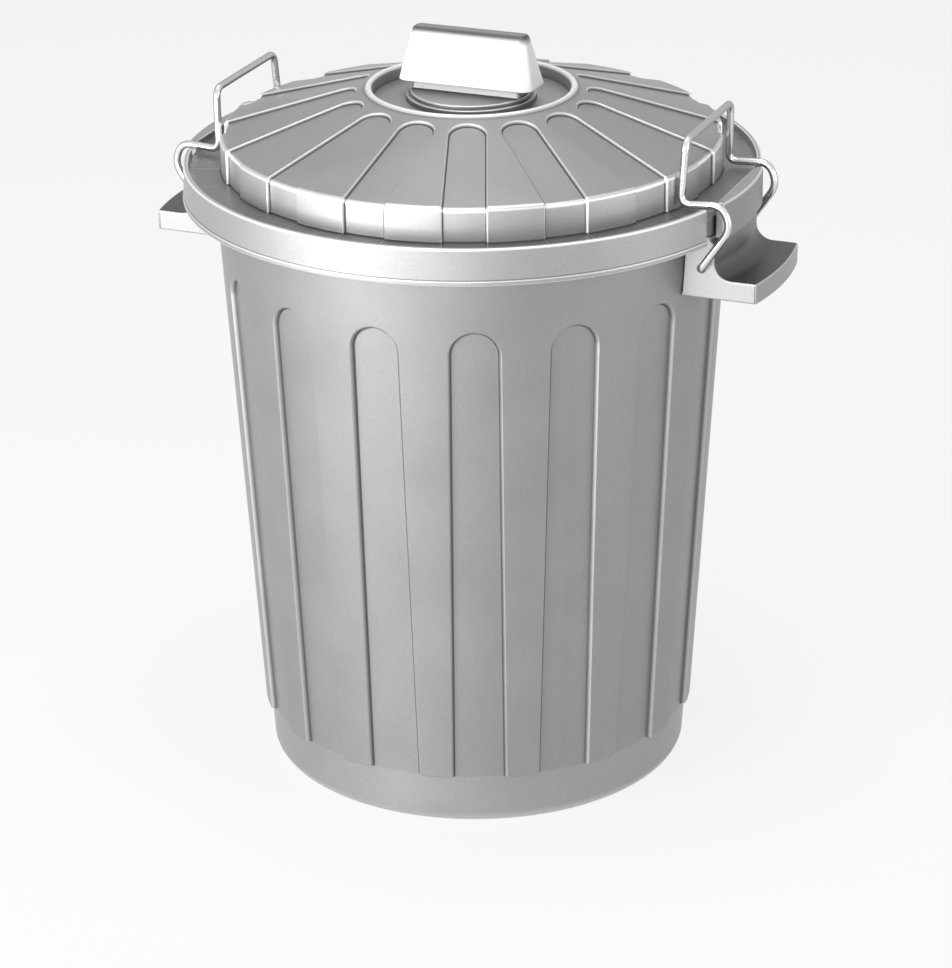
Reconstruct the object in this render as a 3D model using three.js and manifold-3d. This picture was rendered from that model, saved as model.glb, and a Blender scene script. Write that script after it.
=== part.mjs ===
// A small moulded bin in the classic fluted style, with a lid, two side grips and two wire bails
// that hold the lid. Millimetres, +Z up. X runs through the two side grips, and the origin is on
// the floor under the middle of the tub.
import * as THREE from "three";
import { mergeVertices } from "three/addons/utils/BufferGeometryUtils.js";
import Module from "manifold-3d";

const wasm = await Module();
wasm.setup();

// Clearances and what all the mouldings share.
const FIT = 0.3; // gap between pieces that touch
const WALL = 2; // moulded wall
const FACETS = 64; // sides of a round moulding
const PIVOT_FIT = 0.3; // radial clearance of a wire end in its hole

// Tub. Its ribs lie on a cone, and its flutes and base band lie FLUTE_DEPTH inside that cone.
const RIB_R_AT_FLOOR = 86.4; // radius of the rib cone where it meets the floor
const TUB_TAPER = 0.0592; // radius gained for each millimetre of height
const RIM_TOP = 244.7;
const RIM_WIDTH = 8.8; // how far the rim stands out from the rib cone
const RIM_DROP = 7.5; // depth of the rim's turned-down edge
const FLUTES = 16;
const FLUTE_DEPTH = 2.2;
const FLUTE_APEX = 212; // height of the top of each arch
const FLUTE_TOP_WIDTH = 18.9;
const FLUTE_FOOT_WIDTH = 20.6;
const RIB_FOOT = 21.5; // height at which the ribs end over the base band
const BASE_EDGE_R = 5; // rounded bottom edge
const FOOT_RING_WIDTH = 6; // ring that the tub stands on
const FOOT_RING_HEIGHT = 2;
const FLOOR_THICKNESS = 2.4;

// Side grips: scoops under the rim, open below, with a cheek at each end that carries a bail.
const GRIP_WIDTH = 51.6; // over the two cheeks
const GRIP_REACH = 18.3; // lip face beyond the rim
const GRIP_BACK_STEP = 1.8; // back of the scoop beyond the rim
const GRIP_TOP_DROP = 24.5; // from the rim's top to the top of the lip
const LIP_HEIGHT = 7.9;
const SCOOP_R = 6.5; // hollow curve between back and lip
const CHEEK_THICKNESS = 2.2;
const PIVOT_INSET = 6.2; // bail axis inside the rim's edge
const PIVOT_DROP = 20.7; // bail axis below the rim's top

// Lid.
const SKIRT_CLEARANCE = 1; // between the rim's edge and the inside of the skirt
const SKIRT_HEIGHT = 14.2;
const SKIRT_BEAD = 0.4; // how far the bead at the skirt's foot stands proud
const SKIRT_BEAD_HEIGHT = 2;
const GUTTER_DEPTH = 3; // from the skirt's top down to the gutter floor
const GUTTER_EDGE = 0.6; // slope of the gutter's outer side
const DOME_INSET = 1; // dome wall inside the tub's mouth
const DOME_WALL_HEIGHT = 13.6;
const DOME_EDGE_R = 1.2; // worn corner between dome wall and cone
const CONE_RISE = 16.9;
const RING_R = 40; // centre ring
const RING_BEAD_R = 1.4;
const DISH_DROP = 4.5; // dish inside the ring, below the ring
const PETALS = 16;
const PETAL_TURN = THREE.MathUtils.degToRad(-1.9); // petals against the side grips
const PETAL_DEPTH = 1.3;
const PETAL_RIM_WIDTH = 16.4;
const PETAL_TIP_WIDTH = 14.2;
const PETAL_TIP_R = 45; // radius of a petal's round inner end
const SLOT_WIDTH = 9; // skirt slot in which a bail's arm hangs
const PANEL_STEP = 1.2; // panel between the slots, proud of the skirt
const LEDGE_WIDTH = 4.4; // flat ledge at the middle of the panel

// Foot of the lid grip: two round steps, and a plug that fills the grip's mouth.
const FOOT_STEP_R = 25.2;
const FOOT_STEP_HEIGHT = 2;
const FOOT_TOP_R = 23.6;
const FOOT_TOP_HEIGHT = 1.5;
const PLUG_HEIGHT = 8;
const PLUG_GAP = 1.3; // between the plug's long sides and the inside of the grip
const PLUG_END_GAP = 4.2; // between the plug's ends and the inside of the grip
const PLUG_WALL = 1.6;

// Lid grip: a hollow block along X, narrow at its top.
const GRIP_BLOCK_GAP = 3; // from the foot up to the grip's lower edge
const GRIP_BLOCK_HEIGHT = 20.5;
const GRIP_FOOT_LENGTH = 55.8;
const GRIP_FOOT_DEPTH = 18;
const GRIP_CREST_LENGTH = 47;
const GRIP_CREST_DEPTH = 6.6;
const GRIP_FOOT_CORNER_R = 4;
const GRIP_CREST_CORNER_R = 2.6;
const GRIP_CREST_ROUND = 1.4; // rounding of the crest

// Screws that hold the lid grip from below.
const SCREW_SPACING = 26;
const SCREW_R = 1.5;
const SCREW_HEAD_R = 2.7;
const SCREW_HEAD_HEIGHT = 1.8;
const SCREW_LENGTH = 10;
const SCREW_SOCKET_R = 1.2;
const POST_R = 3.2; // post in the grip that takes the screw
const POST_HOLE_SPARE = 1.5; // hole beyond the screw's tip

// Wire bails. Their places are measured from the bail axis.
const WIRE_R = 1.5;
const WIRE_SIDES = 8;
const WIRE_STEPS = 90;
const WIRE_END_PROUD = 1; // wire end inside the cheek
const ARM_CLEARANCE = 0.7; // between an arm and its cheek
const SHOULDER_OUT = 12;
const SHOULDER_UP = 17.6;
const BRIM_OUT = 9; // where the arm turns in over the brim
const BRIM_RISE = 1.1; // brim end of the run above its elbow end
const RUN_GAP = 1; // under the run, at the elbow in the gutter
const ELBOW_CLEARANCE = 0.6; // between the elbow and the dome wall
const BAIL_HEIGHT = 49.7;
const CROSSBAR_IN = 6.5; // crossbar inside the bail axis
const CROSSBAR_WIDTH = 52.4;
const FOOT_BEND = 2.6; // each bend's length along its two straight runs
const SHOULDER_BEND = 4.2;
const BRIM_BEND = 4.8;
const ELBOW_BEND = 3.4;
const CROSSBAR_BEND = 3.2;

// Worked out from the sizes above.
const ribRadius = (z) => RIB_R_AT_FLOOR + TUB_TAPER * z;
const fluteRadius = (z) => ribRadius(z) - FLUTE_DEPTH;
const rimRadius = ribRadius(RIM_TOP) + RIM_WIDTH;
const gutterZ = RIM_TOP + FIT + WALL;
const skirtTop = gutterZ + GUTTER_DEPTH;
const skirtFoot = skirtTop - SKIRT_HEIGHT;
const skirtInnerR = rimRadius + SKIRT_CLEARANCE;
const skirtR = skirtInnerR + WALL;
const domeR = ribRadius(RIM_TOP) - WALL - DOME_INSET;
const domeTop = gutterZ + DOME_WALL_HEIGHT;
const ringZ = domeTop + CONE_RISE;
const coneSlope = CONE_RISE / (domeR - RING_R);
const coneZ = (r) => domeTop + (domeR - r) * coneSlope;
const dishZ = ringZ - DISH_DROP;
const stepTop = dishZ + FOOT_STEP_HEIGHT;
const footTop = stepTop + FOOT_TOP_HEIGHT;
const plugTop = footTop + PLUG_HEIGHT;
const blockFoot = footTop + GRIP_BLOCK_GAP;
const blockTop = blockFoot + GRIP_BLOCK_HEIGHT;
const lipTop = RIM_TOP - GRIP_TOP_DROP;
const lipFoot = lipTop - LIP_HEIGHT;
const lipR = rimRadius + GRIP_REACH;
const gripHalf = GRIP_WIDTH / 2;
const pivotX = rimRadius - PIVOT_INSET;
const pivotZ = RIM_TOP - PIVOT_DROP;
const armY = gripHalf + ARM_CLEARANCE + WIRE_R;
const slotInner = armY - SLOT_WIDTH / 2;
const slotOuter = armY + SLOT_WIDTH / 2;

const FAR = 200; // beyond every surface, for cutting tools
const SIDES = [0, Math.PI]; // turns about Z of what is on the right and on the left

// ---- Solids ----

// The closed solid of a three.js geometry.
function solid(geometry) {
  const bare = new THREE.BufferGeometry();
  bare.setAttribute("position", geometry.getAttribute("position"));
  bare.setIndex(geometry.getIndex());
  const merged = mergeVertices(bare, 1e-4);
  const corners = [];
  for (let i = 0; i < merged.index.count; i += 3) {
    const [a, b, c] = [0, 1, 2].map((k) => merged.index.getX(i + k));
    if (a !== b && b !== c && c !== a) corners.push(a, b, c);
  }
  return new wasm.Manifold(
    new wasm.Mesh({
      numProp: 3,
      vertProperties: merged.attributes.position.array,
      triVerts: new Uint32Array(corners),
    }),
  );
}

// Solid of revolution about Z. The outline is a list of [radius, height], counter-clockwise, with
// the axis at its left.
function turned(outline, facets = FACETS) {
  const points = outline.map(([r, z]) => new THREE.Vector2(r, z));
  return solid(new THREE.LatheGeometry(points, facets).rotateX(Math.PI / 2));
}

// Ring about Z: a closed outline that stays off the axis.
function ring(outline, facets = FACETS) {
  return turned([...outline, outline[0]], facets);
}

function box([x0, x1], [y0, y1], [z0, z1]) {
  const geometry = new THREE.BoxGeometry(x1 - x0, y1 - y0, z1 - z0);
  return solid(geometry.translate((x0 + x1) / 2, (y0 + y1) / 2, (z0 + z1) / 2));
}

function cylinder(x, y, r, [z0, z1], facets) {
  const geometry = new THREE.CylinderGeometry(r, r, z1 - z0, facets);
  return solid(geometry.rotateX(Math.PI / 2).translate(x, y, (z0 + z1) / 2));
}

// Points of an arc about (x, z), from angle a to angle b in degrees.
function arc(x, z, r, a, b, steps) {
  return Array.from({ length: steps + 1 }, (_, i) => {
    const t = THREE.MathUtils.degToRad(a + ((b - a) * i) / steps);
    return [x + r * Math.cos(t), z + r * Math.sin(t)];
  });
}

const turn = (shape, angle) => shape.rotate([0, 0, THREE.MathUtils.radToDeg(angle)]);
const together = (shapes) => shapes.reduce((sum, shape) => sum.add(shape));
const aroundZ = (shape, count, start = 0) =>
  together(Array.from({ length: count }, (_, i) => turn(shape, start + (i * 2 * Math.PI) / count)));

// Rounded rectangle about the Z axis at height z, as a ring of points.
function roundedRing(halfX, halfY, r, z, steps = 4) {
  const corners = [
    [halfX - r, halfY - r, 0],
    [r - halfX, halfY - r, 90],
    [r - halfX, r - halfY, 180],
    [halfX - r, r - halfY, 270],
  ];
  return corners.flatMap(([x, y, a]) =>
    arc(x, y, r, a, a + 90, steps).map(([px, py]) => new THREE.Vector3(px, py, z)),
  );
}

// Closed solid through a stack of rings, lowest first, each convex and counter-clockwise from above.
function lofted(rings) {
  const count = rings[0].length;
  const points = rings.flat();
  const index = [];
  for (let k = 0; k + 1 < rings.length; k++)
    for (let i = 0; i < count; i++) {
      const j = (i + 1) % count;
      const [a, b, c, d] = [k * count + i, k * count + j, (k + 1) * count + j, (k + 1) * count + i];
      index.push(a, b, c, a, c, d);
    }
  const top = (rings.length - 1) * count;
  for (let i = 1; i + 1 < count; i++) index.push(0, i + 1, i, top, top + i, top + i + 1);
  const geometry = new THREE.BufferGeometry().setFromPoints(points);
  geometry.setIndex(index);
  return solid(geometry);
}

// ---- Tub ----

// Outline of one flute seen from outside, grown on every side by "grow".
function fluteShape(grow) {
  const top = FLUTE_TOP_WIDTH / 2 + grow;
  const foot = FLUTE_FOOT_WIDTH / 2 + grow;
  const springing = FLUTE_APEX - FLUTE_TOP_WIDTH / 2;
  const shape = new THREE.Shape();
  shape.moveTo(-foot, RIB_FOOT);
  shape.lineTo(foot, RIB_FOOT);
  shape.lineTo(top, springing);
  shape.absarc(0, springing, top, 0, Math.PI, false);
  return shape;
}

// All flutes as radial prisms between two cones, each given as a function of height.
function flutePrisms(grow, innerR, outerR) {
  const geometry = new THREE.ExtrudeGeometry(fluteShape(grow), {
    depth: FAR,
    bevelEnabled: false,
    curveSegments: 6,
  });
  geometry.rotateX(Math.PI / 2).rotateZ(Math.PI / 2);
  const prisms = aroundZ(solid(geometry), FLUTES);
  const low = RIB_FOOT - 1;
  const high = FLUTE_APEX + 2 * WALL;
  const shell = ring([
    [innerR(low), low],
    [outerR(low), low],
    [outerR(high), high],
    [innerR(high), high],
  ]);
  return prisms.intersect(shell);
}

function tub() {
  const floorTop = FOOT_RING_HEIGHT + FLOOR_THICKNESS;
  const baseR = fluteRadius(BASE_EDGE_R);
  const footR = baseR - BASE_EDGE_R;
  const innerEdgeR = BASE_EDGE_R - WALL / 2;
  const innerBaseR = fluteRadius(floorTop + innerEdgeR) - WALL;
  const stepZ = RIB_FOOT + WALL;
  const rimUnder = RIM_TOP - WALL;
  const body = turned([
    [0, FOOT_RING_HEIGHT],
    [footR - FOOT_RING_WIDTH, FOOT_RING_HEIGHT],
    [footR - FOOT_RING_WIDTH + FOOT_RING_HEIGHT / 2, 0],
    ...arc(footR, BASE_EDGE_R, BASE_EDGE_R, 270, 360, 4),
    [fluteRadius(RIB_FOOT), RIB_FOOT],
    [ribRadius(RIB_FOOT), RIB_FOOT],
    [ribRadius(rimUnder - WALL), rimUnder - WALL],
    [ribRadius(rimUnder) + WALL, rimUnder],
    [rimRadius - WALL, rimUnder],
    [rimRadius - WALL, RIM_TOP - RIM_DROP],
    [rimRadius, RIM_TOP - RIM_DROP],
    ...arc(rimRadius - WALL / 2, RIM_TOP - WALL / 2, WALL / 2, 0, 90, 2),
    ...arc(ribRadius(RIM_TOP) - WALL / 2, RIM_TOP - WALL / 2, WALL / 2, 90, 180, 2),
    [ribRadius(stepZ) - WALL, stepZ],
    [fluteRadius(stepZ) - WALL, stepZ],
    ...arc(innerBaseR - innerEdgeR, floorTop + innerEdgeR, innerEdgeR, 0, -90, 2),
    [0, floorTop],
  ]);
  const backs = flutePrisms(WALL, (z) => fluteRadius(z) - WALL, (z) => ribRadius(z) - WALL / 2);
  const flutes = flutePrisms(0, fluteRadius, (z) => ribRadius(z) + WALL);
  return body.add(backs).subtract(flutes);
}

// ---- Side grips ----

// The scoop's top line from its back at the rim down to the lip, set in by "inset".
function scoopLine(inset) {
  const backR = rimRadius + GRIP_BACK_STEP - inset;
  const floorZ = lipTop - inset;
  const r = SCOOP_R + inset;
  const topZ = RIM_TOP - RIM_DROP - FIT;
  const stepZ = skirtFoot - FIT;
  return [
    [rimRadius - inset, topZ],
    [rimRadius - inset, stepZ - inset],
    [backR, stepZ - GRIP_BACK_STEP - inset],
    ...arc(backR + r, floorZ + r, r, 180, 270, 6),
  ];
}

function sideGrip() {
  const wallAt = (z) => [ribRadius(z) + FIT, z];
  const outer = scoopLine(0);
  const inner = scoopLine(WALL);
  const lip = [
    [lipR - WALL / 4, lipTop],
    [lipR, lipTop - WALL / 4],
    [lipR, lipFoot],
  ];
  const shell = ring([
    ...inner,
    [lipR - WALL, lipTop - WALL],
    [lipR - WALL, lipFoot],
    ...[...lip].reverse(),
    ...[...outer].reverse(),
  ]);
  const filled = ring([
    wallAt(lipFoot),
    ...[...lip].reverse(),
    ...[...outer].reverse(),
    wallAt(outer[0][1]),
  ]);
  const cheekInner = gripHalf - CHEEK_THICKNESS;
  const across = (y0, y1) => box([0, FAR], [y0, y1], [0, FAR * 2]);
  const scoop = shell.intersect(across(-gripHalf, gripHalf));
  const cheeks = [-1, 1].map((side) =>
    filled.intersect(across(...[side * cheekInner, side * gripHalf].sort((a, b) => a - b))),
  );
  const hole = new THREE.CylinderGeometry(WIRE_R + PIVOT_FIT, WIRE_R + PIVOT_FIT, FAR, 16);
  return together([scoop, ...cheeks]).subtract(solid(hole.translate(pivotX, 0, pivotZ)));
}

// ---- Lid ----

// Lid without petals and slots. Its outline runs out along the underside and back over the top.
function lidBody() {
  const under = PETAL_DEPTH + WALL;
  const underCone = (r) => coneZ(r) - under;
  const ringUnderR = RING_R - WALL;
  const footUnderR = FOOT_TOP_R - WALL;
  return turned([
    [0, footTop - WALL],
    [footUnderR, footTop - WALL],
    [footUnderR, dishZ - WALL],
    [ringUnderR, dishZ - WALL],
    [ringUnderR + WALL, underCone(ringUnderR + WALL)],
    [domeR - under, underCone(domeR - under)],
    [domeR - under, gutterZ - WALL],
    [skirtInnerR, gutterZ - WALL],
    [skirtInnerR, skirtFoot],
    [skirtR + SKIRT_BEAD, skirtFoot],
    [skirtR + SKIRT_BEAD, skirtFoot + SKIRT_BEAD_HEIGHT - SKIRT_BEAD],
    [skirtR, skirtFoot + SKIRT_BEAD_HEIGHT],
    ...arc(skirtR - WALL / 2, skirtTop - WALL / 2, WALL / 2, 0, 90, 2),
    [skirtInnerR, skirtTop],
    [skirtInnerR - GUTTER_EDGE, gutterZ],
    [domeR + GUTTER_EDGE, gutterZ],
    [domeR, gutterZ + GUTTER_EDGE],
    [domeR, domeTop - DOME_EDGE_R],
    [domeR - DOME_EDGE_R, coneZ(domeR - DOME_EDGE_R)],
    [RING_R + RING_BEAD_R, coneZ(RING_R + RING_BEAD_R)],
    ...arc(RING_R, ringZ - RING_BEAD_R / 2, RING_BEAD_R, 20, 180, 4),
    [RING_R - RING_BEAD_R, dishZ],
    [FOOT_STEP_R, dishZ],
    [FOOT_STEP_R, stepTop],
    [FOOT_TOP_R, stepTop],
    [FOOT_TOP_R, footTop],
    [0, footTop],
  ]);
}

// What is cut away to leave the petals sunk in the cone and the dome wall.
function petalTools() {
  const tip = PETAL_TIP_WIDTH / 2;
  const rim = PETAL_RIM_WIDTH / 2;
  const reach = domeR + 2 * GUTTER_EDGE;
  const shape = new THREE.Shape();
  shape.moveTo(reach, -rim);
  shape.lineTo(reach, rim);
  shape.lineTo(PETAL_TIP_R + tip, tip);
  shape.absarc(PETAL_TIP_R + tip, 0, tip, Math.PI / 2, Math.PI * 1.5, false);
  const geometry = new THREE.ExtrudeGeometry(shape, {
    depth: FAR,
    bevelEnabled: false,
    curveSegments: 6,
  });
  const prisms = aroundZ(solid(geometry.translate(0, 0, gutterZ)), PETALS, PETAL_TURN);
  const wallR = domeR - PETAL_DEPTH;
  const sunk = (r) => coneZ(r) - PETAL_DEPTH;
  const skin = ring([
    [PETAL_TIP_R - 1, sunk(PETAL_TIP_R - 1)],
    [wallR - DOME_EDGE_R, sunk(wallR - DOME_EDGE_R)],
    [wallR, sunk(wallR) - DOME_EDGE_R],
    [wallR, gutterZ],
    [reach, gutterZ],
    [reach, ringZ + WALL],
    [PETAL_TIP_R - 1, ringZ + WALL],
  ]);
  return prisms.intersect(skin);
}

// Panel and ledge between one side's slots.
function panel() {
  const chord = skirtR - LEDGE_WIDTH;
  const face = skirtR + PANEL_STEP;
  const between = box([0, FAR], [-slotInner, slotInner], [skirtFoot, skirtTop]);
  const tab = ring([
    [skirtInnerR, skirtFoot],
    [face, skirtFoot],
    ...arc(face - WALL / 2, skirtTop - WALL / 2, WALL / 2, 0, 90, 2),
    [skirtInnerR, skirtTop],
  ]);
  const disc = turned([
    [0, gutterZ - WALL / 2],
    [skirtR, gutterZ - WALL / 2],
    [skirtR, skirtTop],
    [0, skirtTop],
  ]);
  const ledge = disc.intersect(box([chord, FAR], [-slotInner, slotInner], [0, FAR * 2]));
  return tab.intersect(between).add(ledge);
}

// The two slots of one side, through the skirt.
function slots() {
  const edgeR = skirtInnerR - GUTTER_EDGE;
  const reach = skirtR + 4 * WALL;
  const skirt = ring([
    [edgeR, skirtFoot - WALL],
    [reach, skirtFoot - WALL],
    [reach, skirtTop + WALL],
    [edgeR, skirtTop + WALL],
  ]);
  return together(
    [-1, 1].map((side) => {
      const across = [side * slotInner, side * slotOuter].sort((a, b) => a - b);
      return skirt.intersect(box([0, FAR], across, [0, FAR * 2]));
    }),
  );
}

const half = (size) => size / 2;
const blockHalfX = (z) =>
  THREE.MathUtils.mapLinear(z, blockFoot, blockTop, half(GRIP_FOOT_LENGTH), half(GRIP_CREST_LENGTH));
const blockHalfY = (z) =>
  THREE.MathUtils.mapLinear(z, blockFoot, blockTop, half(GRIP_FOOT_DEPTH), half(GRIP_CREST_DEPTH));

// A stack of rounded rectangles that follows the grip's sides, set in from its ends and from its
// long sides.
function blockStack(endInset, sideInset, heights) {
  return heights.map((z) => {
    const share = (z - blockFoot) / GRIP_BLOCK_HEIGHT;
    const cornerR = THREE.MathUtils.lerp(GRIP_FOOT_CORNER_R, GRIP_CREST_CORNER_R, share);
    const [x, y] = [blockHalfX(z) - endInset, blockHalfY(z) - sideInset];
    return roundedRing(x, y, Math.min(Math.max(cornerR - sideInset, WALL / 4), 0.9 * y), z);
  });
}

// The plug's sides, set in by its own wall where the stack is its hollow.
const plugStack = (inset, heights) =>
  lofted(blockStack(WALL + PLUG_END_GAP + inset, WALL + PLUG_GAP + inset, heights));

const screwPlaces = [-half(SCREW_SPACING), half(SCREW_SPACING)];

function lid() {
  const plug = plugStack(0, [footTop - WALL / 2, plugTop]);
  const hollow = plugStack(PLUG_WALL, [dishZ - WALL, plugTop - PLUG_WALL]);
  const holes = screwPlaces.map((x) => cylinder(x, 0, SCREW_R + FIT, [dishZ, plugTop + WALL], 16));
  const panels = SIDES.map((angle) => turn(panel(), angle));
  const openings = SIDES.map((angle) => turn(slots(), angle));
  const cuts = [petalTools(), hollow, ...holes, ...openings];
  return together([lidBody(), plug, ...panels]).subtract(together(cuts));
}

// ---- Lid grip and its screws ----

const screwFoot = plugTop - PLUG_WALL - FIT - SCREW_HEAD_HEIGHT;

function lidGrip() {
  const crest = blockTop - GRIP_CREST_ROUND;
  const skin = blockStack(0, 0, [blockFoot, crest]);
  const [x, y] = [blockHalfX(crest), blockHalfY(crest)];
  const ceiling = crest - WALL / 2;
  for (const angle of [30, 60, 90]) {
    const t = THREE.MathUtils.degToRad(angle);
    const inset = GRIP_CREST_ROUND * (1 - Math.cos(t));
    const z = crest + GRIP_CREST_ROUND * Math.sin(t);
    skin.push(roundedRing(x - inset, y - inset, GRIP_CREST_CORNER_R - inset / 2, z));
  }
  const inside = lofted(blockStack(WALL, WALL, [blockFoot - FIT, ceiling]));
  const holeTop = screwFoot + SCREW_HEAD_HEIGHT + SCREW_LENGTH + POST_HOLE_SPARE;
  const outer = lofted(skin);
  const posts = screwPlaces.map((px) =>
    cylinder(px, 0, POST_R, [plugTop + FIT, blockTop], 16).intersect(outer),
  );
  const holes = screwPlaces.map((px) => cylinder(px, 0, SCREW_R + FIT, [plugTop, holeTop], 12));
  return together([outer.subtract(inside), ...posts]).subtract(together(holes));
}

// Pan-head screw, head down, with a hexagon socket.
function gripScrew(x) {
  const neck = screwFoot + SCREW_HEAD_HEIGHT;
  const tip = neck + SCREW_LENGTH;
  const screw = turned(
    [
      [0, screwFoot],
      [SCREW_HEAD_R - SCREW_HEAD_HEIGHT / 3, screwFoot],
      [SCREW_HEAD_R, screwFoot + SCREW_HEAD_HEIGHT / 3],
      [SCREW_HEAD_R, neck],
      [SCREW_R, neck],
      [SCREW_R, tip - SCREW_R],
      [SCREW_R / 3, tip],
      [0, tip],
    ],
    16,
  );
  const socket = cylinder(0, 0, SCREW_SOCKET_R, [screwFoot - FIT, screwFoot + SCREW_HEAD_HEIGHT / 2], 6);
  return screw.subtract(socket).translate([x, 0, 0]);
}

// ---- Bails ----

// Path of straight runs with bends. Each corner is [point, length of its bend along the runs].
function bentPath(corners) {
  const path = new THREE.CurvePath();
  let from = corners[0][0];
  corners.slice(1, -1).forEach(([corner, bend], i) => {
    const next = corners[i + 2][0];
    const before = corner.clone().add(from.clone().sub(corner).setLength(bend));
    const after = corner.clone().add(next.clone().sub(corner).setLength(bend));
    path.add(new THREE.LineCurve3(from, before));
    path.add(new THREE.QuadraticBezierCurve3(before, corner, after));
    from = after;
  });
  path.add(new THREE.LineCurve3(from, corners.at(-1)[0]));
  return path;
}

function bail() {
  const endY = gripHalf - CHEEK_THICKNESS - WIRE_END_PROUD;
  const elbowX = Math.sqrt(domeR ** 2 - armY ** 2) + WIRE_R + ELBOW_CLEARANCE;
  const runZ = gutterZ + RUN_GAP + WIRE_R;
  const crossHalf = half(CROSSBAR_WIDTH);
  const barZ = pivotZ + BAIL_HEIGHT;
  const arm = (side) => [
    [new THREE.Vector3(pivotX, side * endY, pivotZ), 0],
    [new THREE.Vector3(pivotX, side * armY, pivotZ), FOOT_BEND],
    [new THREE.Vector3(pivotX + SHOULDER_OUT, side * armY, pivotZ + SHOULDER_UP), SHOULDER_BEND],
    [new THREE.Vector3(pivotX + BRIM_OUT, side * armY, runZ + BRIM_RISE), BRIM_BEND],
    [new THREE.Vector3(elbowX, side * armY, runZ), ELBOW_BEND],
    [new THREE.Vector3(pivotX - CROSSBAR_IN, side * crossHalf, barZ), CROSSBAR_BEND],
  ];
  const path = bentPath([...arm(-1), ...arm(1).reverse()]);
  const section = new THREE.Shape(
    Array.from({ length: WIRE_SIDES }, (_, i) => {
      const t = ((i + 0.5) * 2 * Math.PI) / WIRE_SIDES;
      return new THREE.Vector2(WIRE_R * Math.cos(t), WIRE_R * Math.sin(t));
    }),
  );
  return solid(
    new THREE.ExtrudeGeometry(section, { steps: WIRE_STEPS, extrudePath: path, bevelEnabled: false }),
  );
}

// ---- Materials and assembly ----

const plastic = (color, roughness) => new THREE.MeshStandardMaterial({ color, roughness, metalness: 0.35 });
const tubPlastic = plastic(0xa9abad, 0.42);
const gripPlastic = plastic(0xb4b6b8, 0.42);
const lidPlastic = plastic(0xa3a5a7, 0.4);
const handPlastic = plastic(0xd9dadb, 0.36);
const brightWire = new THREE.MeshStandardMaterial({ color: 0xd4d6d8, roughness: 0.22, metalness: 1 });
const screwSteel = new THREE.MeshStandardMaterial({ color: 0x8f9296, roughness: 0.35, metalness: 1 });

function mesh(name, shape, material) {
  const { vertProperties, triVerts } = shape.getMesh();
  const geometry = new THREE.BufferGeometry();
  geometry.setAttribute("position", new THREE.BufferAttribute(vertProperties, 3));
  geometry.setIndex(new THREE.BufferAttribute(triVerts, 1));
  geometry.computeVertexNormals();
  const made = new THREE.Mesh(geometry, material);
  made.name = name;
  return made;
}

const bin = new THREE.Group();
bin.add(mesh("tub", tub(), tubPlastic));

const lidGroup = new THREE.Group();
lidGroup.add(mesh("lid", lid(), lidPlastic));
lidGroup.add(mesh("lid_grip", lidGrip(), handPlastic));
["left", "right"].forEach((side, i) => {
  lidGroup.add(mesh("grip_screw_" + side, gripScrew(screwPlaces[i]), screwSteel));
});
bin.add(lidGroup);

["right", "left"].forEach((side, i) => {
  const flank = new THREE.Group();
  flank.rotation.z = SIDES[i];
  flank.add(mesh("side_grip_" + side, sideGrip(), gripPlastic));
  flank.add(mesh("bail_" + side, bail(), brightWire));
  bin.add(flank);
});

export default bin;
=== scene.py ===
"""A small fluted bin with a lid, two side grips and two wire bails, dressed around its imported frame.

Metres, +Z up. X runs through the two side grips, and the origin is on the floor under the middle
of the tub. Every moulding is built as a closed skin with rounded edges at its real size, the
sixteen flutes and the sixteen petals are one sector repeated around the axis, and the bails are
wire swept along their bent paths.
"""

import logging
import math
from collections.abc import Callable, Iterable
from dataclasses import dataclass, field
from enum import Enum
from functools import partial
from typing import NamedTuple, Self

import bmesh
import bpy
from mathutils import Matrix, Vector


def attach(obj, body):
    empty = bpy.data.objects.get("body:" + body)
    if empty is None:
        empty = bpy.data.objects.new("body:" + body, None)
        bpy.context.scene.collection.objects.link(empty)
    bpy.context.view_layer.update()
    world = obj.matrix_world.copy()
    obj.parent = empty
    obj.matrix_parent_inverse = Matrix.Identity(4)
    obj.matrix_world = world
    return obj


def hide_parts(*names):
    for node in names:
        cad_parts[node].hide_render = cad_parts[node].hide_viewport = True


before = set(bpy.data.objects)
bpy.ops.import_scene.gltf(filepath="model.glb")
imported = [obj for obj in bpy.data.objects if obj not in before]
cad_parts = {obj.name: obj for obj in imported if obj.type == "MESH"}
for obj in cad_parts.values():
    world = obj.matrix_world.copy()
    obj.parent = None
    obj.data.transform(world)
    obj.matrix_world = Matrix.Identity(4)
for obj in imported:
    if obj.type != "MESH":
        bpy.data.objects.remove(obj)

LOG = logging.getLogger("bin")
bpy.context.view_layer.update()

MM = 0.001  # metres in a millimetre
WALL = 2.0 * MM  # moulded wall
FIT = 0.3 * MM  # gap between pieces that touch
WELD = 0.002 * MM  # points closer than this are one
SHARP = math.radians(50)  # faces that meet at more than this have a crease
FACE_WEIGHT = 80  # how much a large face rules the shading where it meets small ones
PAINTED_EDGE = 0.8  # edge value of a plain rounded edge, which sets the painted light on it
DRILL_SIDES = 40
HALF_TURN = math.pi
FLUTES = 16
PETALS = 16

RIB_R = 86.4 * MM  # radius of the tub's rib cone at the floor
TAPER = 0.0592  # how much the rib cone widens with its height
RIM_R = 109.686 * MM  # outside of the tub's rim
DOME_R = 97.886 * MM  # outside of the lid's dome wall
PIVOT = (103.486 * MM, 224.0 * MM)  # a bail's axis, out from the middle and up


class Side(Enum):
    """The two flanks of the bin, each with its turn about the axis."""

    RIGHT = 0.0
    LEFT = HALF_TURN

    @property
    def word(self) -> str:
        """The side's name as the frame's nodes spell it."""
        return self.name.lower()

    @property
    def turn(self) -> Matrix:
        """The turn that takes the right flank here."""
        return Matrix.Rotation(self.value, 4, "Z")


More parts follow.
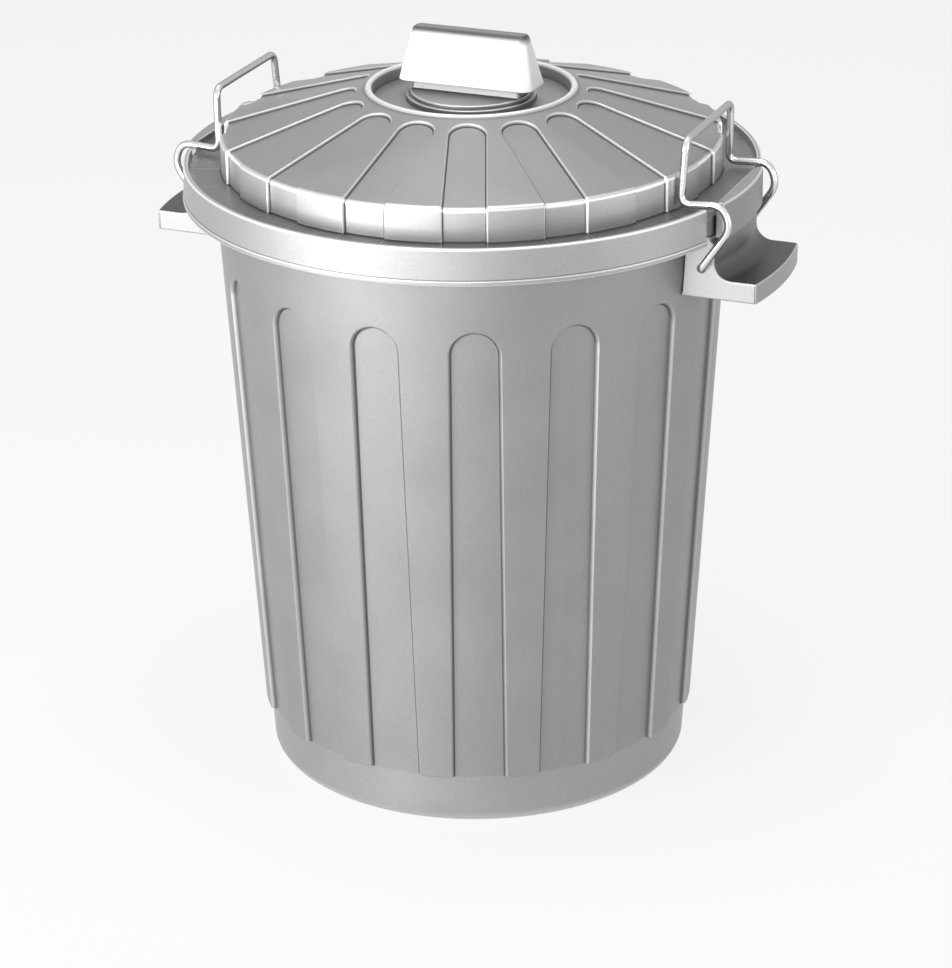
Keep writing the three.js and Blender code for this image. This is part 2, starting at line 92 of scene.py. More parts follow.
class Tone(Enum):
    """How much painted light or shade makes a zone of a moulding paler or darker than its plastic."""

    PLAIN = 0.0
    # Painted highlight on the base band, painted shade in the gutter and in the scoop, painted highlights
    # on the dome wall, the ring's bead, the skirt and the panel, and painted dark reflection on the hand
    # grip's crest.
    BASE_BAND = 0.12
    GUTTER = -0.35
    DOME_WALL = 0.65
    RING = 0.3
    SKIRT = 0.33
    PANEL = 0.05
    CREST = -0.75
    SCOOP_BACK = -0.4
    SCOOP_FLOOR = -0.85


class Slot(Enum):
    """The record's material slots."""

    TUB = "tub_plastic"
    GRIP = "grip_plastic"
    LID = "lid_plastic"
    HAND_GRIP = "hand_grip_plastic"
    WIRE = "bail_wire"
    SCREW = "screw_steel"


class Spot(NamedTuple):
    """A point of a turned outline, with how sharp it is: above 0 on an edge and below 0 in a root; the
    finish paints edges paler and roots darker, as painted highlight and painted shade.
    """

    r: float
    z: float
    edge: float = 0.0


class Dot(NamedTuple):
    """A point of a skin with its painted light or shade and its edge value."""

    x: float
    y: float
    z: float
    tone: float = 0.0
    edge: float = 0.0


def lerp(a: float, b: float, t: float) -> float:
    """The value a share t of the way from a to b."""
    return a + (b - a) * t


def shares(count: int) -> list[float]:
    """The shares 0 to 1 that cut a span in count equal parts."""
    return [i / count for i in range(count + 1)]


QUARTER = [share * math.pi / 2 for share in shares(4)]  # the angles of a rounded edge


def mid(a: Spot, b: Spot, t: float) -> Spot:
    """The spot a share t of the way from a to b, with no edge of its own."""
    return Spot(lerp(a.r, b.r, t), lerp(a.z, b.z, t))


def arc(r: float, z: float, radius: float, start: float, end: float, steps: int) -> list[Spot]:
    """Spots of an arc of an outline.

    Args:
        r: Radius of the arc's centre from the bin's axis.
        z: Height of the arc's centre.
        radius: The arc's own radius.
        start: First angle, in degrees.
        end: Last angle, in degrees.
        steps: How many parts the arc has.

    Returns:
        The spots, each marked as an edge towards the middle of the arc.
    """
    found = []
    for share in shares(steps):
        angle = math.radians(lerp(start, end, share))
        edge = math.sin(math.pi * share)
        found.append(Spot(r + radius * math.cos(angle), z + radius * math.sin(angle), edge))
    return found


def rounded(corners: list[tuple[float, float, float]], steps: int = 4, spans: int = 1) -> list[Spot]:
    """Rounds the corners of an outline that has its solid on its left.

    Args:
        corners: Radius, height and length of rounding of each corner.
        steps: How many parts each rounding has.
        spans: How many parts each straight run has.

    Returns:
        The outline's spots, marked as edges where it turns left and as roots where it turns right.
    """
    ends = [Spot(r, z) for r, z, _ in corners]
    path = [ends[0]]
    for before, here, after, (_, _, cut) in zip(ends, ends[1:], ends[2:], corners[1:]):
        legs = [math.dist(here[:2], other[:2]) for other in (before, after)]
        start, end = (mid(here, o, min(cut / leg, 0.5)) for o, leg in zip((before, after), legs))
        path += [mid(path[-1], start, share) for share in shares(spans)[1:]]
        cross = (here.r - before.r) * (after.z - here.z) - (here.z - before.z) * (after.r - here.r)
        bend = math.copysign(min(1.0, abs(cross) / (legs[0] * legs[1])), cross)
        for share in shares(steps)[1:]:
            spot = mid(mid(start, here, share), mid(here, end, share), share)
            path.append(Spot(spot.r, spot.z, bend * math.sin(math.pi * share)))
    path += [mid(path[-1], ends[-1], share) for share in shares(spans)[1:]]
    return path


@dataclass
class Skin:
    """The faces of one piece while it is made."""

    dots: list[Dot] = field(default_factory=list)
    faces: list[tuple[int, ...]] = field(default_factory=list)

    def add(self, dots: Iterable[Dot]) -> list[int]:
        """Adds dots and returns their numbers."""
        first = len(self.dots)
        self.dots += dots
        return list(range(first, len(self.dots)))

    def grid(self, rows: list[list[Dot]]) -> None:
        """Adds the faces between rows of equally many dots.

        Args:
            rows: The rows, in the order of an outline with its solid on its left, each running
                counter-clockwise about the axis.
        """
        numbers = [self.add(row) for row in rows]
        for low, high in zip(numbers, numbers[1:]):
            self.faces += zip(low, low[1:], high[1:], high)

    def face(self, dots: Iterable[Dot]) -> None:
        """Adds one face, counter-clockwise from outside."""
        self.faces.append(tuple(self.add(dots)))

    def stack(self, rings: list[list[Dot]]) -> None:
        """Adds a closed solid of rings, each counter-clockwise from above, from foot to top."""
        self.grid([ring + ring[:1] for ring in rings])
        self.face(rings[0][::-1])
        self.face(rings[-1])

    def mesh(self, name: str) -> bpy.types.Mesh:
        """Makes the mesh, with its doubles merged and its painted light or shade and its edge value
        stored at its points.

        Args:
            name: The mesh's name.

        Returns:
            The finished mesh, smooth shaded.
        """
        made = bpy.data.meshes.new(name)
        made.from_pydata([dot[:3] for dot in self.dots], [], self.faces)
        for key in ("tone", "edge"):
            layer = made.attributes.new(key, "FLOAT", "POINT")
            layer.data.foreach_set("value", [getattr(dot, key) for dot in self.dots])
        work = bmesh.new()
        work.from_mesh(made)
        bmesh.ops.remove_doubles(work, verts=work.verts, dist=WELD)
        bmesh.ops.dissolve_degenerate(work, edges=work.edges, dist=WELD)
        work.to_mesh(made)
        work.free()
        made.shade_smooth()
        return made


def around(spot: Spot, angle: float, tone: float) -> Dot:
    """The dot where an outline's spot comes when it is turned about the axis."""
    return Dot(spot.r * math.cos(angle), spot.r * math.sin(angle), spot.z, tone, spot.edge)


def turned(spots: list[Spot], angles: list[float], tone: Callable[[Spot], Tone]) -> list[list[Dot]]:
    """Rows of dots that turn an outline about the axis.

    Args:
        spots: The outline.
        angles: The angle of each column.
        tone: Gives the painted light or shade of a spot.

    Returns:
        One row of dots for each spot.
    """
    return [[around(spot, angle, tone(spot).value) for angle in angles] for spot in spots]


def plain(_: Spot) -> Tone:
    """A zone with no painted light or shade."""
    return Tone.PLAIN


# ---- Walls with arched recesses ----


@dataclass(frozen=True)
class Level:
    """One level of a wall with recesses."""

    raised: Spot  # where the wall lies between the recesses
    sunk: Spot  # where it lies inside them
    half: float = 0.0  # half the width of a recess here
    stands: float = 1.0  # share of its height that a rib has here


@dataclass(frozen=True)
class RecessedWall:
    """One sector of a turned wall, with one arched recess that is open at its foot."""

    count: int  # sectors around the axis
    step: float  # half the width of the recess's rounded edge
    # gives the painted light or shade of a spot
    tone: Callable[[Spot], Tone]
    inner_parts: int = 6  # parts across the recess
    step_parts: int = 10  # parts across its edge
    flank_parts: int = 4  # parts from the edge to the sector's border
    arch_parts: int = 24  # parts of a quarter of the arch

    @property
    def border(self) -> float:
        """Half the angle of a sector."""
        return math.pi / self.count

    def sink(self, t: float) -> float:
        """How deep the wall lies across the edge, for t from -1 inside to 1 outside."""
        return 0.5 - 0.5 * math.sin(t * math.pi / 2)

    def dot(self, level: Level, y: float, t: float) -> Dot:
        """A dot of the wall.

        Args:
            level: The level that the dot lies on.
            y: Its distance from the middle of the sector.
            t: Its place across the recess's edge, from -1 inside to 1 outside.

        Returns:
            The dot in the row frame, with the sector's middle on the X axis.
        """
        rib = (1 - self.sink(t)) * level.stands
        spot = mid(level.sunk, level.raised, rib)
        angle = math.asin(max(-1.0, min(1.0, y / level.raised.r)))
        # The edge value paints a highlight on the recess's edge and shade in its root, and painted shade
        # and highlight where a rib rises from its foot.
        corner = -math.sin(math.tau * level.stands) * (1 - self.sink(t))
        edge = math.sin(math.pi * t) * level.stands + lerp(level.sunk.edge, level.raised.edge, rib)
        painted_edge = spot._replace(edge=max(-1.0, min(1.0, edge + corner)))
        return around(painted_edge, angle, self.tone(spot).value)

    def reach(self, level: Level) -> float:
        """Distance of the sector's border from its middle."""
        return level.raised.r * math.sin(self.border)

    def across_edge(self) -> list[float]:
        """The places across the recess's edge, after its inner end."""
        return [lerp(-1, 1, s) for s in shares(self.step_parts)[1:]]

    def mirrored(self, places: list[tuple[Level, float, float]]) -> list[Dot]:
        """A row of dots from the level, the distance and the place of each in its right half."""
        right = [self.dot(level, y, t) for level, y, t in places]
        left = [self.dot(level, -y, t) for level, y, t in places[:0:-1]]
        return left + right

    def straight_row(self, level: Level) -> list[Dot]:
        """The dots of one level below the arch."""
        inner, outer = level.half - self.step, level.half + self.step
        places = [(level, inner * s, -1.0) for s in shares(self.inner_parts // 2)]
        places += [(level, level.half + self.step * t, t) for t in self.across_edge()]
        flank = shares(self.flank_parts)[1:]
        return self.mirrored(places + [(level, lerp(outer, self.reach(level), s), 1.0) for s in flank])

    def arch_row(
        self, at: Callable[[float], Level], springing: float, top: float, half: float, turn: float
    ) -> list[Dot]:
        """The dots of one bent row of the arch.

        Args:
            at: Gives the wall's level at a place along it.
            springing: Where the arch springs.
            top: Where the sector ends above the arch.
            half: Half the width of the recess at the springing.
            turn: Angle of the row about the middle of the arch, from 0 to a quarter turn.

        Returns:
            The row's dots, from the left border over the recess to the right border.
        """
        up, out = math.sin(turn), math.cos(turn)
        inner, outer = half - self.step, half + self.step
        places = [(inner * out * s, springing + inner * up, -1.0) for s in shares(self.inner_parts // 2)]
        for t in self.across_edge():
            radius = half + self.step * t
            places.append((radius * out, springing + radius * up, t))
        share = turn / (math.pi / 4)
        end = lerp(springing, top, min(share, 1.0))
        end_y = self.reach(at(end)) * min(1.0, 2 - share)
        for s in shares(self.flank_parts)[1:]:
            places.append((lerp(outer * out, end_y, s), lerp(springing + outer * up, end, s), 1.0))
        return self.mirrored([(at(along), y, t) for y, along, t in places])

    def arch(
        self, at: Callable[[float], Level], springing: float, top: float, half: float
    ) -> list[list[Dot]]:
        """All rows of the arch, which fold together along the sector's middle above it."""
        turns = [s * math.pi / 2 for s in shares(self.arch_parts)]
        return [self.arch_row(at, springing, top, half, turn) for turn in turns]

    def top_angles(self) -> list[float]:
        """Angles of the columns above the arch."""
        half_parts = self.arch_parts // 2
        right = [math.asin(math.sin(self.border) * s) for s in shares(half_parts)]
        return [-a for a in right[:0:-1]] + right

    def foot_angles(self, level: Level) -> list[float]:
        """Angles of the columns at a level below the arch."""
        return [math.atan2(dot.y, dot.x) for dot in self.straight_row(level)]


# ---- Node trees ----

Feed = bpy.types.NodeSocket | float | int | tuple


@dataclass
class Bench:
    """A node tree with short ways to add and join its nodes."""

    tree: bpy.types.NodeTree

    @classmethod
    def group(cls, name: str, kind: str, inputs: dict[str, str], outputs: dict[str, str]) -> Self:
        """Starts a node group.

        Args:
            name: The group's name.
            kind: The tree's type.
            inputs: The kind of each input socket, by name.
            outputs: The kind of each output socket, by name.

        Returns:
            The bench of the new group.
        """
        tree = bpy.data.node_groups.new(name, kind)
        for direction, sockets in (("INPUT", inputs), ("OUTPUT", outputs)):
            for label, socket in sockets.items():
                tree.interface.new_socket(label, in_out=direction, socket_type="NodeSocket" + socket)
        return cls(tree)

    @classmethod
    def of(cls, owner: bpy.types.Material | bpy.types.World) -> Self:
        """Empties the node tree of a material or world and opens it."""
        owner.use_nodes = True
        owner.node_tree.nodes.clear()
        return cls(owner.node_tree)

    def add(self, kind: str, **settings: object) -> bpy.types.Node:
        """Adds a node with the given settings."""
        node = self.tree.nodes.new(kind)
        for key, value in settings.items():
            setattr(node, key, value)
        return node

    def feed(self, socket: bpy.types.NodeSocket, value: Feed) -> None:
        """Joins a socket to another one, or sets its value."""
        if isinstance(value, bpy.types.NodeSocket):
            self.tree.links.new(value, socket)
        else:
            socket.default_value = value

    def node(self, kind: str, feeds: dict[str, Feed], **settings: object) -> bpy.types.Node:
        """Adds a node and feeds its inputs by name."""
        node = self.add(kind, **settings)
        for label, value in feeds.items():
            self.feed(node.inputs[label], value)
        return node

    def maths(self, operation: str, *values: Feed) -> bpy.types.NodeSocket:
        """Adds a sum of one to three values and returns its result."""
        node = self.add("ShaderNodeMath", operation=operation)
        for socket, value in zip(node.inputs, values):
            self.feed(socket, value)
        return node.outputs[0]

    def blend(self, share: Feed, first: Feed, second: Feed) -> bpy.types.NodeSocket:
        """Mixes two shaders, with the given share of the second."""
        node = self.add("ShaderNodeMixShader")
        for socket, value in zip(node.inputs, (share, first, second)):
            self.feed(socket, value)
        return node.outputs[0]

    def scaled(self, colour: Feed, share: Feed) -> bpy.types.NodeSocket:
        """Multiplies a colour by one value."""
        node = self.add("ShaderNodeVectorMath", operation="SCALE")
        self.feed(node.inputs["Vector"], colour)
        self.feed(node.inputs["Scale"], share)
        return node.outputs[0]

    def face(self, group: bpy.types.NodeTree, feeds: dict[str, Feed]) -> dict[str, bpy.types.NodeSocket]:
        """Adds a face group at the piece's own place and returns its outputs by name."""
        place = self.add("ShaderNodeTexCoord").outputs["Object"]
        node = self.add("ShaderNodeGroup", node_tree=group)
        for label, value in ({"Vector": place} | feeds).items():
            self.feed(node.inputs[label], value)
        return {socket.name: socket for socket in node.outputs}

    def bump(self, height: Feed, strength: float, depth: float) -> bpy.types.NodeSocket:
        """Adds a fine relief and returns its normal."""
        feeds = {"Strength": strength, "Distance": depth, "Height": height}
        return self.node("ShaderNodeBump", feeds).outputs[0]

    def shade(self, feeds: dict[str, Feed]) -> None:
        """Ends a piece's material with its shader."""
        shader = self.node("ShaderNodeBsdfPrincipled", feeds).outputs[0]
        self.node("ShaderNodeOutputMaterial", {"Surface": shader})

    def dress(self, geometry: Feed, finish: Feed) -> None:
        """Ends a modelling tree: gives the geometry its finish and hands it out."""
        dressed = self.node("GeometryNodeSetMaterial", {"Geometry": geometry, "Material": finish})
        self.feed(self.add("NodeGroupOutput").inputs[0], dressed.outputs[0])

    def seen(self) -> bpy.types.NodeSocket:
        """Is 1 for what the camera sees, straight or in a reflection or through a surface."""
        rays = self.add("ShaderNodeLightPath").outputs
        straight = self.maths("MAXIMUM", rays["Is Camera Ray"], rays["Is Glossy Ray"])
        return self.maths("MAXIMUM", straight, rays["Is Transmission Ray"])

    def noise(self, vector: Feed, scale: Feed, detail: float = 2.0) -> bpy.types.NodeSocket:
        """Adds a noise of the given scale and returns its value, which lies about a half."""
        feeds = {"Vector": vector, "Scale": scale, "Detail": detail}
        return self.node("ShaderNodeTexNoise", feeds).outputs[0]

    def about(self, value: Feed, middle: Feed, swing: Feed) -> bpy.types.NodeSocket:
        """Moves a noise about a half to lie about a middle, with a swing each way."""
        centred = self.maths("SUBTRACT", value, 0.5)
        return self.maths("ADD", self.maths("MULTIPLY", centred, swing), middle)


@dataclass(frozen=True)
class Modelling:
    """A geometry node tree and how a mesh is put through it."""

    tree: bpy.types.NodeTree

    def run(self, name: str, mesh: bpy.types.Mesh, values: dict[str, object]) -> bpy.types.Mesh:
        """Puts a mesh through the tree.

        Args:
            name: Name of the new mesh.
            mesh: The mesh that goes in.
            values: The tree's inputs by name.

        Returns:
            The plain mesh that comes out.
        """
        holder = placed(name, mesh)
        modifier = holder.modifiers.new("Modelling", "NODES")
        modifier.node_group = self.tree
        sockets = {item.name: item.identifier for item in self.tree.interface.items_tree}
        for label, value in values.items():
            modifier[sockets[label]] = value
        return settled(holder)


def placed(name: str, data: bpy.types.ID) -> bpy.types.Object:
    """Puts a mesh, a light or a camera in the scene, at the origin."""
    made = bpy.data.objects.new(name, data)
    bpy.context.scene.collection.objects.link(made)
    return made


def settled(holder: bpy.types.Object) -> bpy.types.Mesh:
    """Applies an object's modifiers, removes the object and returns its mesh."""
    graph = bpy.context.evaluated_depsgraph_get()
    shown = holder.evaluated_get(graph)
    mesh = bpy.data.meshes.new_from_object(shown, preserve_all_data_layers=True, depsgraph=graph)
    mesh.name = holder.name
    bpy.data.objects.remove(holder)
    return mesh


def around_axis() -> Modelling:
    """Makes the tree that repeats one sector around the axis and welds the copies."""
    inputs = {"Sector": "Geometry", "Count": "Int", "Turn": "Float", "Finish": "Material"}
    bench = Bench.group("Around the axis", "GeometryNodeTree", inputs, {"Ring": "Geometry"})
    given = bench.add("NodeGroupInput").outputs
    line = bench.node("GeometryNodeMeshLine", {"Count": given["Count"], "Offset": (0, 0, 0)})
    pitch = bench.maths("DIVIDE", math.tau, given["Count"])
    index = bench.add("GeometryNodeInputIndex").outputs[0]
    angle = bench.maths("MULTIPLY_ADD", index, pitch, given["Turn"])
    euler = bench.node("ShaderNodeCombineXYZ", {"Z": angle}).outputs[0]
    rotation = bench.node("FunctionNodeEulerToRotation", {"Euler": euler}).outputs[0]
    feeds = {"Points": line.outputs[0], "Instance": given["Sector"], "Rotation": rotation}
    copies = bench.node("GeometryNodeInstanceOnPoints", feeds).outputs[0]
    real = bench.node("GeometryNodeRealizeInstances", {"Geometry": copies}).outputs[0]
    weld = bench.node("GeometryNodeMergeByDistance", {"Geometry": real, "Distance": WELD}).outputs[0]
    smooth = bench.node("GeometryNodeSetShadeSmooth", {"Geometry": weld}).outputs[0]
    bench.dress(smooth, given["Finish"])
    return Modelling(bench.tree)


def along_path() -> Modelling:
    """Makes the tree that sweeps a round wire along a path of points."""
    inputs = {"Path": "Geometry", "Radius": "Float", "Sides": "Int", "Finish": "Material"}
    bench = Bench.group("Along a path", "GeometryNodeTree", inputs, {"Wire": "Geometry"})
    given = bench.add("NodeGroupInput").outputs
    curve = bench.node("GeometryNodeMeshToCurve", {"Mesh": given["Path"]}).outputs[0]
    feeds = {"Resolution": given["Sides"], "Radius": given["Radius"]}
    ring = bench.node("GeometryNodeCurvePrimitiveCircle", feeds).outputs[0]
    feeds = {"Curve": curve, "Profile Curve": ring, "Fill Caps": True}
    swept = bench.node("GeometryNodeCurveToMesh", feeds).outputs[0]
    smooth = bench.node("GeometryNodeSetShadeSmooth", {"Geometry": swept}).outputs[0]
    real = bench.node("GeometryNodeRealizeInstances", {"Geometry": smooth}).outputs[0]
    bench.dress(real, given["Finish"])
    return Modelling(bench.tree)


# ---- Finishes ----


def moulded_face() -> bpy.types.NodeTree:
    """Makes the group for a silver-filled plastic's face: flake, clouding, and painted light and shade by
    zone, on edges and in roots.
    """
    values = ("Flake scale", "Flake", "Cloud scale", "Cloud", "Tone", "Edge", "Shoulder", "Root")
    inputs = {"Vector": "Vector", "Colour": "Color", **dict.fromkeys(values, "Float")}
    outputs = {"Colour": "Color", "Cloud": "Float", "Height": "Float"}
    bench = Bench.group("Moulded silver face", "ShaderNodeTree", inputs, outputs)
    given = bench.add("NodeGroupInput").outputs
    flake = bench.noise(given["Vector"], given["Flake scale"], 1.0)
    cloud = bench.noise(given["Vector"], given["Cloud scale"], 3.0)
    shade = bench.about(flake, 1.0, given["Flake"])
    shade = bench.maths("MULTIPLY", shade, bench.about(cloud, 1.0, given["Cloud"]))
    shade = bench.maths("MULTIPLY", shade, bench.maths("ADD", 1.0, given["Tone"]))
    # Edges are painted paler and roots darker: painted highlight and painted shade.
    painted_edge = bench.maths("MULTIPLY", bench.maths("MAXIMUM", given["Edge"], 0.0), given["Shoulder"])
    painted_root_shade = bench.maths("MULTIPLY", bench.maths("MINIMUM", given["Edge"], 0.0), given["Root"])
    edged = bench.maths("ADD", 1.0, bench.maths("ADD", painted_edge, painted_root_shade))
    shade = bench.maths("MULTIPLY", shade, edged)
    out = bench.add("NodeGroupOutput").inputs
    bench.feed(out["Colour"], bench.scaled(given["Colour"], shade))
    bench.feed(out["Cloud"], cloud)
    bench.feed(out["Height"], flake)
    return bench.tree


def metal_face() -> bpy.types.NodeTree:
    """Makes the group for a metal's face: drawn grain and a faint tarnish."""
    values = ("Grain scale", "Grain", "Tarnish scale", "Tarnish")
    inputs = {"Vector": "Vector", "Colour": "Color", **dict.fromkeys(values, "Float")}
    outputs = {"Colour": "Color", "Tarnish": "Float", "Height": "Float"}
    bench = Bench.group("Drawn metal face", "ShaderNodeTree", inputs, outputs)
    given = bench.add("NodeGroupInput").outputs
    grain = bench.noise(given["Vector"], given["Grain scale"], 2.0)
    tarnish = bench.noise(given["Vector"], given["Tarnish scale"], 3.0)
    drawn = bench.about(grain, 1.0, given["Grain"])
    shade = bench.maths("MULTIPLY", drawn, bench.about(tarnish, 1.0, given["Tarnish"]))
    out = bench.add("NodeGroupOutput").inputs
    bench.feed(out["Colour"], bench.scaled(given["Colour"], shade))
    bench.feed(out["Tarnish"], tarnish)
    bench.feed(out["Height"], grain)
    return bench.tree


@dataclass(frozen=True)
class Plastic:
    """Moulded plastic filled with silver flake."""

    name: str
    grey: float  # brightness, linear
    metallic: float = 0.85
    roughness: float = 0.48
    uneven: float = 0.12  # how much the roughness varies with the clouding
    coat: float = 0.12
    coat_roughness: float = 0.3
    flake_scale: float = 1700.0
    flake: float = 0.28
    cloud_scale: float = 38.0
    cloud: float = 0.14
    shoulder: float = 0.35  # how much paler an edge is painted, a painted highlight; below 0 it is painted darker
    root: float = 0.4  # how much darker a root is painted, a painted shade
    bump: float = 0.12
    bump_depth: float = 0.02 * MM

    def material(self, face: bpy.types.NodeTree) -> bpy.types.Material:
        """Makes the material around the shared face group."""
        made = bpy.data.materials.new(self.name)
        bench = Bench.of(made)
        feeds = {
            "Colour": (self.grey, self.grey * 1.004, self.grey * 1.012, 1.0),
            "Flake scale": self.flake_scale,
            "Flake": self.flake,
            "Cloud scale": self.cloud_scale,
            "Cloud": self.cloud,
            "Tone": bench.add("ShaderNodeAttribute", attribute_name="tone").outputs["Fac"],
            "Edge": bench.add("ShaderNodeAttribute", attribute_name="edge").outputs["Fac"],
            "Shoulder": self.shoulder,
            "Root": self.root,
        }
        found = bench.face(face, feeds)
        painted = {
            "Base Color": found["Colour"],
            "Roughness": bench.about(found["Cloud"], self.roughness, self.uneven),
            "Metallic": self.metallic,
            "Coat Weight": self.coat,
            "Coat Roughness": self.coat_roughness,
            "Normal": bench.bump(found["Height"], self.bump, self.bump_depth),
        }
        bench.shade(painted)
        return made


@dataclass(frozen=True)
class Metal:
    """Plated or plain steel."""

    name: str
    grey: float
    roughness: float
    uneven: float = 0.15  # how much the roughness varies with the tarnish
    grain_scale: float = 900.0
    grain: float = 0.08
    tarnish_scale: float = 90.0
    tarnish: float = 0.12
    bump: float = 0.08
    bump_depth: float = 0.01 * MM
    rim: float = 0.0  # how much darker the face is painted where it turns away, a painted dark reflection

    def material(self, face: bpy.types.NodeTree) -> bpy.types.Material:
        """Makes the material around the shared face group."""
        made = bpy.data.materials.new(self.name)
        bench = Bench.of(made)
        feeds = {
            "Colour": (self.grey, self.grey, self.grey * 1.01, 1.0),
            "Grain scale": self.grain_scale,
            "Grain": self.grain,
            "Tarnish scale": self.tarnish_scale,
            "Tarnish": self.tarnish,
        }
        found = bench.face(face, feeds)
        # The face is painted darker towards its outline, a painted dark reflection.
        turned_away = bench.node("ShaderNodeLayerWeight", {"Blend": 0.5}).outputs["Facing"]
        kept = bench.maths("SUBTRACT", 1.0, bench.maths("MULTIPLY", turned_away, self.rim))
        painted = {
            "Base Color": bench.scaled(found["Colour"], kept),
            "Roughness": bench.about(found["Tarnish"], self.roughness, self.uneven),
            "Metallic": 1.0,
            "Normal": bench.bump(found["Height"], self.bump, self.bump_depth),
        }
        bench.shade(painted)
        return made


@dataclass(frozen=True)
class Workshop:
    """The modelling trees and the finishes that all pieces share."""

    repeat: Modelling
    sweep: Modelling
    finishes: dict[Slot, bpy.types.Material]

    @classmethod
    def open(cls) -> Self:
        """Makes the trees and the finishes."""
        face = moulded_face()
        metal = metal_face()
        finishes = {
            # Shoulder and root set how strongly edges carry painted highlight and roots carry painted
            # shade.
            Slot.TUB: Plastic("Silver tub plastic", 0.29, shoulder=0.5, root=0.65).material(face),
            Slot.GRIP: Plastic("Silver side grip plastic", 0.33).material(face),
            Slot.LID: Plastic("Silver lid plastic", 0.265, shoulder=1.2, root=0.8).material(face),
            # The hand grip's pale grey is a painted highlight on the same silver plastic, and its edges
            # are painted darker, a painted dark reflection.
            Slot.HAND_GRIP: Plastic(
                "Hand grip plastic with painted highlight", 0.86, metallic=0.15, shoulder=-0.75, flake=0.05
            ).material(face),
            # The wire's rim value paints it darker where it turns away, a painted dark reflection.
            Slot.WIRE: Metal("Bright bail wire", 0.8, 0.22, rim=0.85).material(metal),
            Slot.SCREW: Metal("Plain screw steel", 0.55, 0.34).material(metal),
        }
        return cls(around_axis(), along_path(), finishes)

    def finish(
        self, name: str, mesh: bpy.types.Mesh, slot: Slot, body: str, *nodes: str
    ) -> bpy.types.Object:
        """Dresses a finished mesh and hangs it on its body.

        Args:
            name: The piece's name.
            mesh: Its mesh, in place in the row frame.
            slot: The material slot that it takes its finish from.
            body: The body that it rides on.
            nodes: The CAD nodes that it stands for.

        Returns:
            The piece.
        """
        mesh.materials.clear()
        mesh.materials.append(self.finishes[slot])
        piece = placed(name, mesh)
        mesh.set_sharp_from_angle(angle=SHARP)
        weigh = piece.modifiers.new("Even faces", "WEIGHTED_NORMAL")
        weigh.keep_sharp = True
        weigh.weight = FACE_WEIGHT
        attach(piece, body)
        if nodes:
            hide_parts(*nodes)
        LOG.info("%s: %d faces on %s", name, len(mesh.polygons), body)
        return piece


# ---- Closed sections ----


def inset(section: list[Spot], depth: float) -> list[Spot]:
    """Moves a closed outline into its solid, which lies on its left."""
    moved = []
    for before, here, after in zip(section[-1:] + section[:-1], section, section[1:] + section[:1]):
        run, rise = after.r - before.r, after.z - before.z
        length = math.hypot(run, rise) or 1.0
        spot = Spot(here.r - rise / length * depth, here.z + run / length * depth, here.edge)
        moved.append(spot)
    return moved


@dataclass(frozen=True)
class Column:
    """One section of a closed band and where it stands."""

    y: float  # distance from the middle plane of the bin
    section: list[Spot]
    share: float = 0.0  # share of the way round from one flank to the other


def rounded_end(section: list[Spot], y: float, inward: float, radius: float) -> list[Column]:
    """The columns that round off a band's end.

    Args:
        section: The band's full section.
        y: Where the end face lies.
        inward: Which way the band runs from its end, 1 or -1.
        radius: Radius of the rounding.

    Returns:
        The columns from the end face inwards.
    """
    face = inset(section, 1.5 * radius)
    found = [Column(y, [spot._replace(edge=0.0) for spot in face])]
    for angle in QUARTER:
        depth = radius * (1 - math.sin(angle))
        painted_edge = PAINTED_EDGE * math.sin(2 * angle)
        spots = [spot._replace(edge=max(spot.edge, painted_edge)) for spot in inset(section, depth)]
        found.append(Column(y + inward * radius * (1 - math.cos(angle)), spots))
    return found


def band(skin: Skin, columns: list[Column], place: Callable[[Spot, Column], Dot]) -> None:
    """Adds a closed band that runs through its columns, and its two end faces.

    Args:
        skin: The skin that takes the faces.
        columns: Its sections, with the angle about the axis increasing.
        place: Puts a spot of a section at a column's place.
    """
    sections = [[place(spot, column) for spot in column.section] for column in columns]
    rows = [list(row) for row in zip(*sections)]
    skin.grid(rows + rows[:1])
    skin.face(sections[0])
    skin.face(sections[-1][::-1])


def rod(name: str, radius: float, length: float, place: Matrix) -> bpy.types.Mesh:
    """Makes a round cutting tool about its own Z axis."""
    work = bmesh.new()
    size = {"radius1": radius, "radius2": radius, "depth": length}
    bmesh.ops.create_cone(work, cap_ends=True, segments=DRILL_SIDES, matrix=place, **size)
    made = bpy.data.meshes.new(name)
    work.to_mesh(made)
    work.free()
    return made


def carved(mesh: bpy.types.Mesh, *tools: tuple[str, bpy.types.Mesh]) -> bpy.types.Mesh:
    """Adds tools to a closed mesh or cuts them away.

    Args:
        mesh: The mesh that is carved.
        tools: Each tool's operation, UNION or DIFFERENCE, and its closed mesh.

    Returns:
        The new mesh.
    """
    holder = placed(mesh.name, mesh)
    helpers = [placed(tool.name, tool) for _, tool in tools]
    for (operation, _), helper in zip(tools, helpers):
        step = holder.modifiers.new(helper.name, "BOOLEAN")
        step.operation = operation
        step.object = helper
    found = settled(holder)
    for helper in helpers:
        bpy.data.objects.remove(helper)
    return found


def joined(name: str, *parts: bpy.types.Mesh) -> bpy.types.Mesh:
    """Puts several meshes into one new mesh."""
    work = bmesh.new()
    for part in parts:
        work.from_mesh(part)
    made = bpy.data.meshes.new(name)
    work.to_mesh(made)
    work.free()
    return made


# ---- Tub ----

# How a rib rises from its foot: millimetres over the foot, and the share of its height there.
RIB_RISE = (
    (-0.3, 0.0),
    (-0.14, 0.03),
    (-0.05, 0.13),
    (0.0, 0.26),
    (0.04, 0.76),
    (0.12, 0.9),
    (0.26, 0.98),
    (0.5, 1.0),
)


